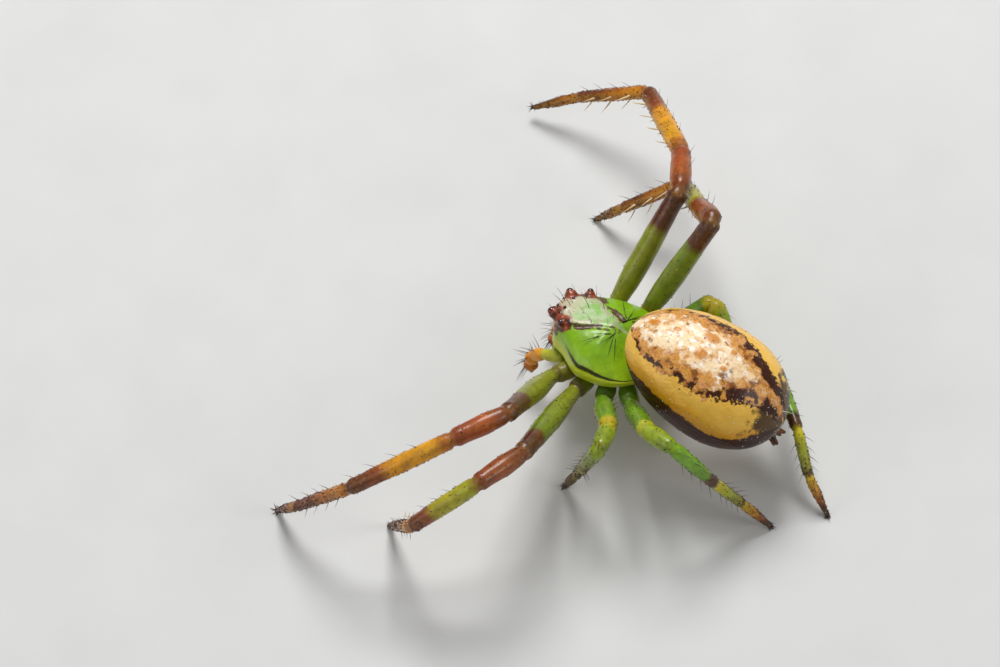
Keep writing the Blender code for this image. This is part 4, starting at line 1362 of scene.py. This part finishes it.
def build_legs(pale_hair, brown_hair, black_hair, spine_horn, claw_horn):
    finishes = {number: leg_cuticle(f"banded_leg_cuticle_{number}", BANDS[number], 0.75) for number in BANDS}
    for side_name, number in LEG_POSES:
        name = f"leg_{side_name}_{number}"
        joints = leg_joints(side_name, number)
        radii, hairiness = (FRONT_RADII, FRONT_HAIRINESS) if number < 3 else (REAR_RADII, REAR_HAIRINESS)
        skin = limb_skin(joints, radii, LEG_SIDES)
        roughen(skin, 0.010, 0.30, number + (4 if side_name == "left" else 0))
        mark_hairy(skin, hairiness)
        grow(f"{name}_pale_hairs", "leg_pale", skin.copy(), pale_hair, 20 + number)
        grow(f"{name}_brown_hairs", "leg_brown", skin.copy(), brown_hair, 40 + number)
        bristles = roots(limb_bristles(joints, radii, LEG_BRISTLE_ROWS))
        grow(f"{name}_bristles", "leg_bristle", bristles, black_hair, 60 + number)
        if number < 3:
            spines = roots(limb_bristles(joints, radii, SPINE_ROWS))
            grow(f"{name}_spines", "leg_spine", spines, spine_horn, 80 + number)
        settle(f"{name}_claws", claws(joints), claw_horn, ())
        nodes = [f"{name}_{segment}" for segment in ("coxa",) + SEGMENTS]
        settle(f"{name}_skin", skin, finishes[number], nodes)


# Soft lights: the way to each, its distance and size in metres and its power in watts
SOFTBOXES = (
    ("key_softbox", (0.30, -0.45, 0.90), 0.14, 0.06, 0.17),
    ("fill_softbox", (0.55, 0.75, 0.45), 0.16, 0.10, 0.05),
    ("rim_softbox", (-0.80, -0.10, 0.50), 0.16, 0.06, 0.05),
)
ROOM_LIGHT = 0.34
LIT_PLACE = (-0.5, 0.5, 2.0)
FLOOR_REACH = 0.6


def stage():
    """A plain pale floor and soft studio light."""
    floor_mesh = bpy.data.meshes.new("floor")
    corners = [(x * FLOOR_REACH, y * FLOOR_REACH, 0) for x, y in ((-1, -1), (1, -1), (1, 1), (-1, 1))]
    floor_mesh.from_pydata(corners, [], [(0, 1, 2, 3)])
    floor = bpy.data.objects.new("floor", floor_mesh)
    bpy.context.scene.collection.objects.link(floor)
    # Matte card, faintly grained
    made, tree, place = new_material("pale_matte_board")
    grain = add(tree, "RAMP", add(tree, "NOISE", place, 400.0, 3.0),
                stops=((0.3, "#CFCFCD"), (0.7, "#D3D3D1")))
    shade(tree, {"Base Color": grain, "Roughness": 0.85})
    floor_mesh.materials.append(made)

    world = bpy.data.worlds.new("studio")
    world.use_nodes = True
    background = world.node_tree.nodes["Background"].inputs
    background["Color"].default_value = linear("#E6E8EC")
    background["Strength"].default_value = ROOM_LIGHT
    bpy.context.scene.world = world
    middle = PLACE @ Vector(LIT_PLACE)
    for name, way, distance, size, power in SOFTBOXES:
        light = bpy.data.lights.new(name, "AREA")
        light.shape = "SQUARE"
        light.size = size
        light.energy = power
        lamp = bpy.data.objects.new(name, light)
        out = Vector(way).normalized()
        lamp.location = middle + out * distance
        lamp.rotation_mode = "QUATERNION"
        lamp.rotation_quaternion = out.to_track_quat("Z", "Y")
        bpy.context.scene.collection.objects.link(lamp)
    bpy.context.scene.view_settings.view_transform = "Standard"


def camera():
    """The photograph's view, with the body where the photograph has it."""
    back = direction(VIEW_AZIMUTH, VIEW_ELEVATION)
    turn = back.to_track_quat("Z", "Y").to_matrix() @ Matrix.Rotation(math.radians(-VIEW_ROLL), 3, "Z")
    right, up = turn.col[0], turn.col[1]
    aside = (PICTURE_SIZE[0] / 2 - BODY_PIXEL[0]) / PIXELS_PER_MM
    above = (BODY_PIXEL[1] - PICTURE_SIZE[1] / 2) / PIXELS_PER_MM
    target = Vector(VIEW_TARGET) + right * aside + up * above
    distance = PICTURE_SIZE[0] / PIXELS_PER_MM / SENSOR * LENS
    data = bpy.data.cameras.new("camera")
    data.lens = LENS
    data.sensor_width = SENSOR
    data.clip_start = NEAREST
    data.clip_end = FARTHEST
    viewer = bpy.data.objects.new("camera", data)
    viewer.matrix_world = Matrix.Translation(PLACE @ (target + back * distance)) @ turn.to_4x4()
    bpy.context.scene.collection.objects.link(viewer)
    bpy.context.scene.camera = viewer


camera()
stage()
main()
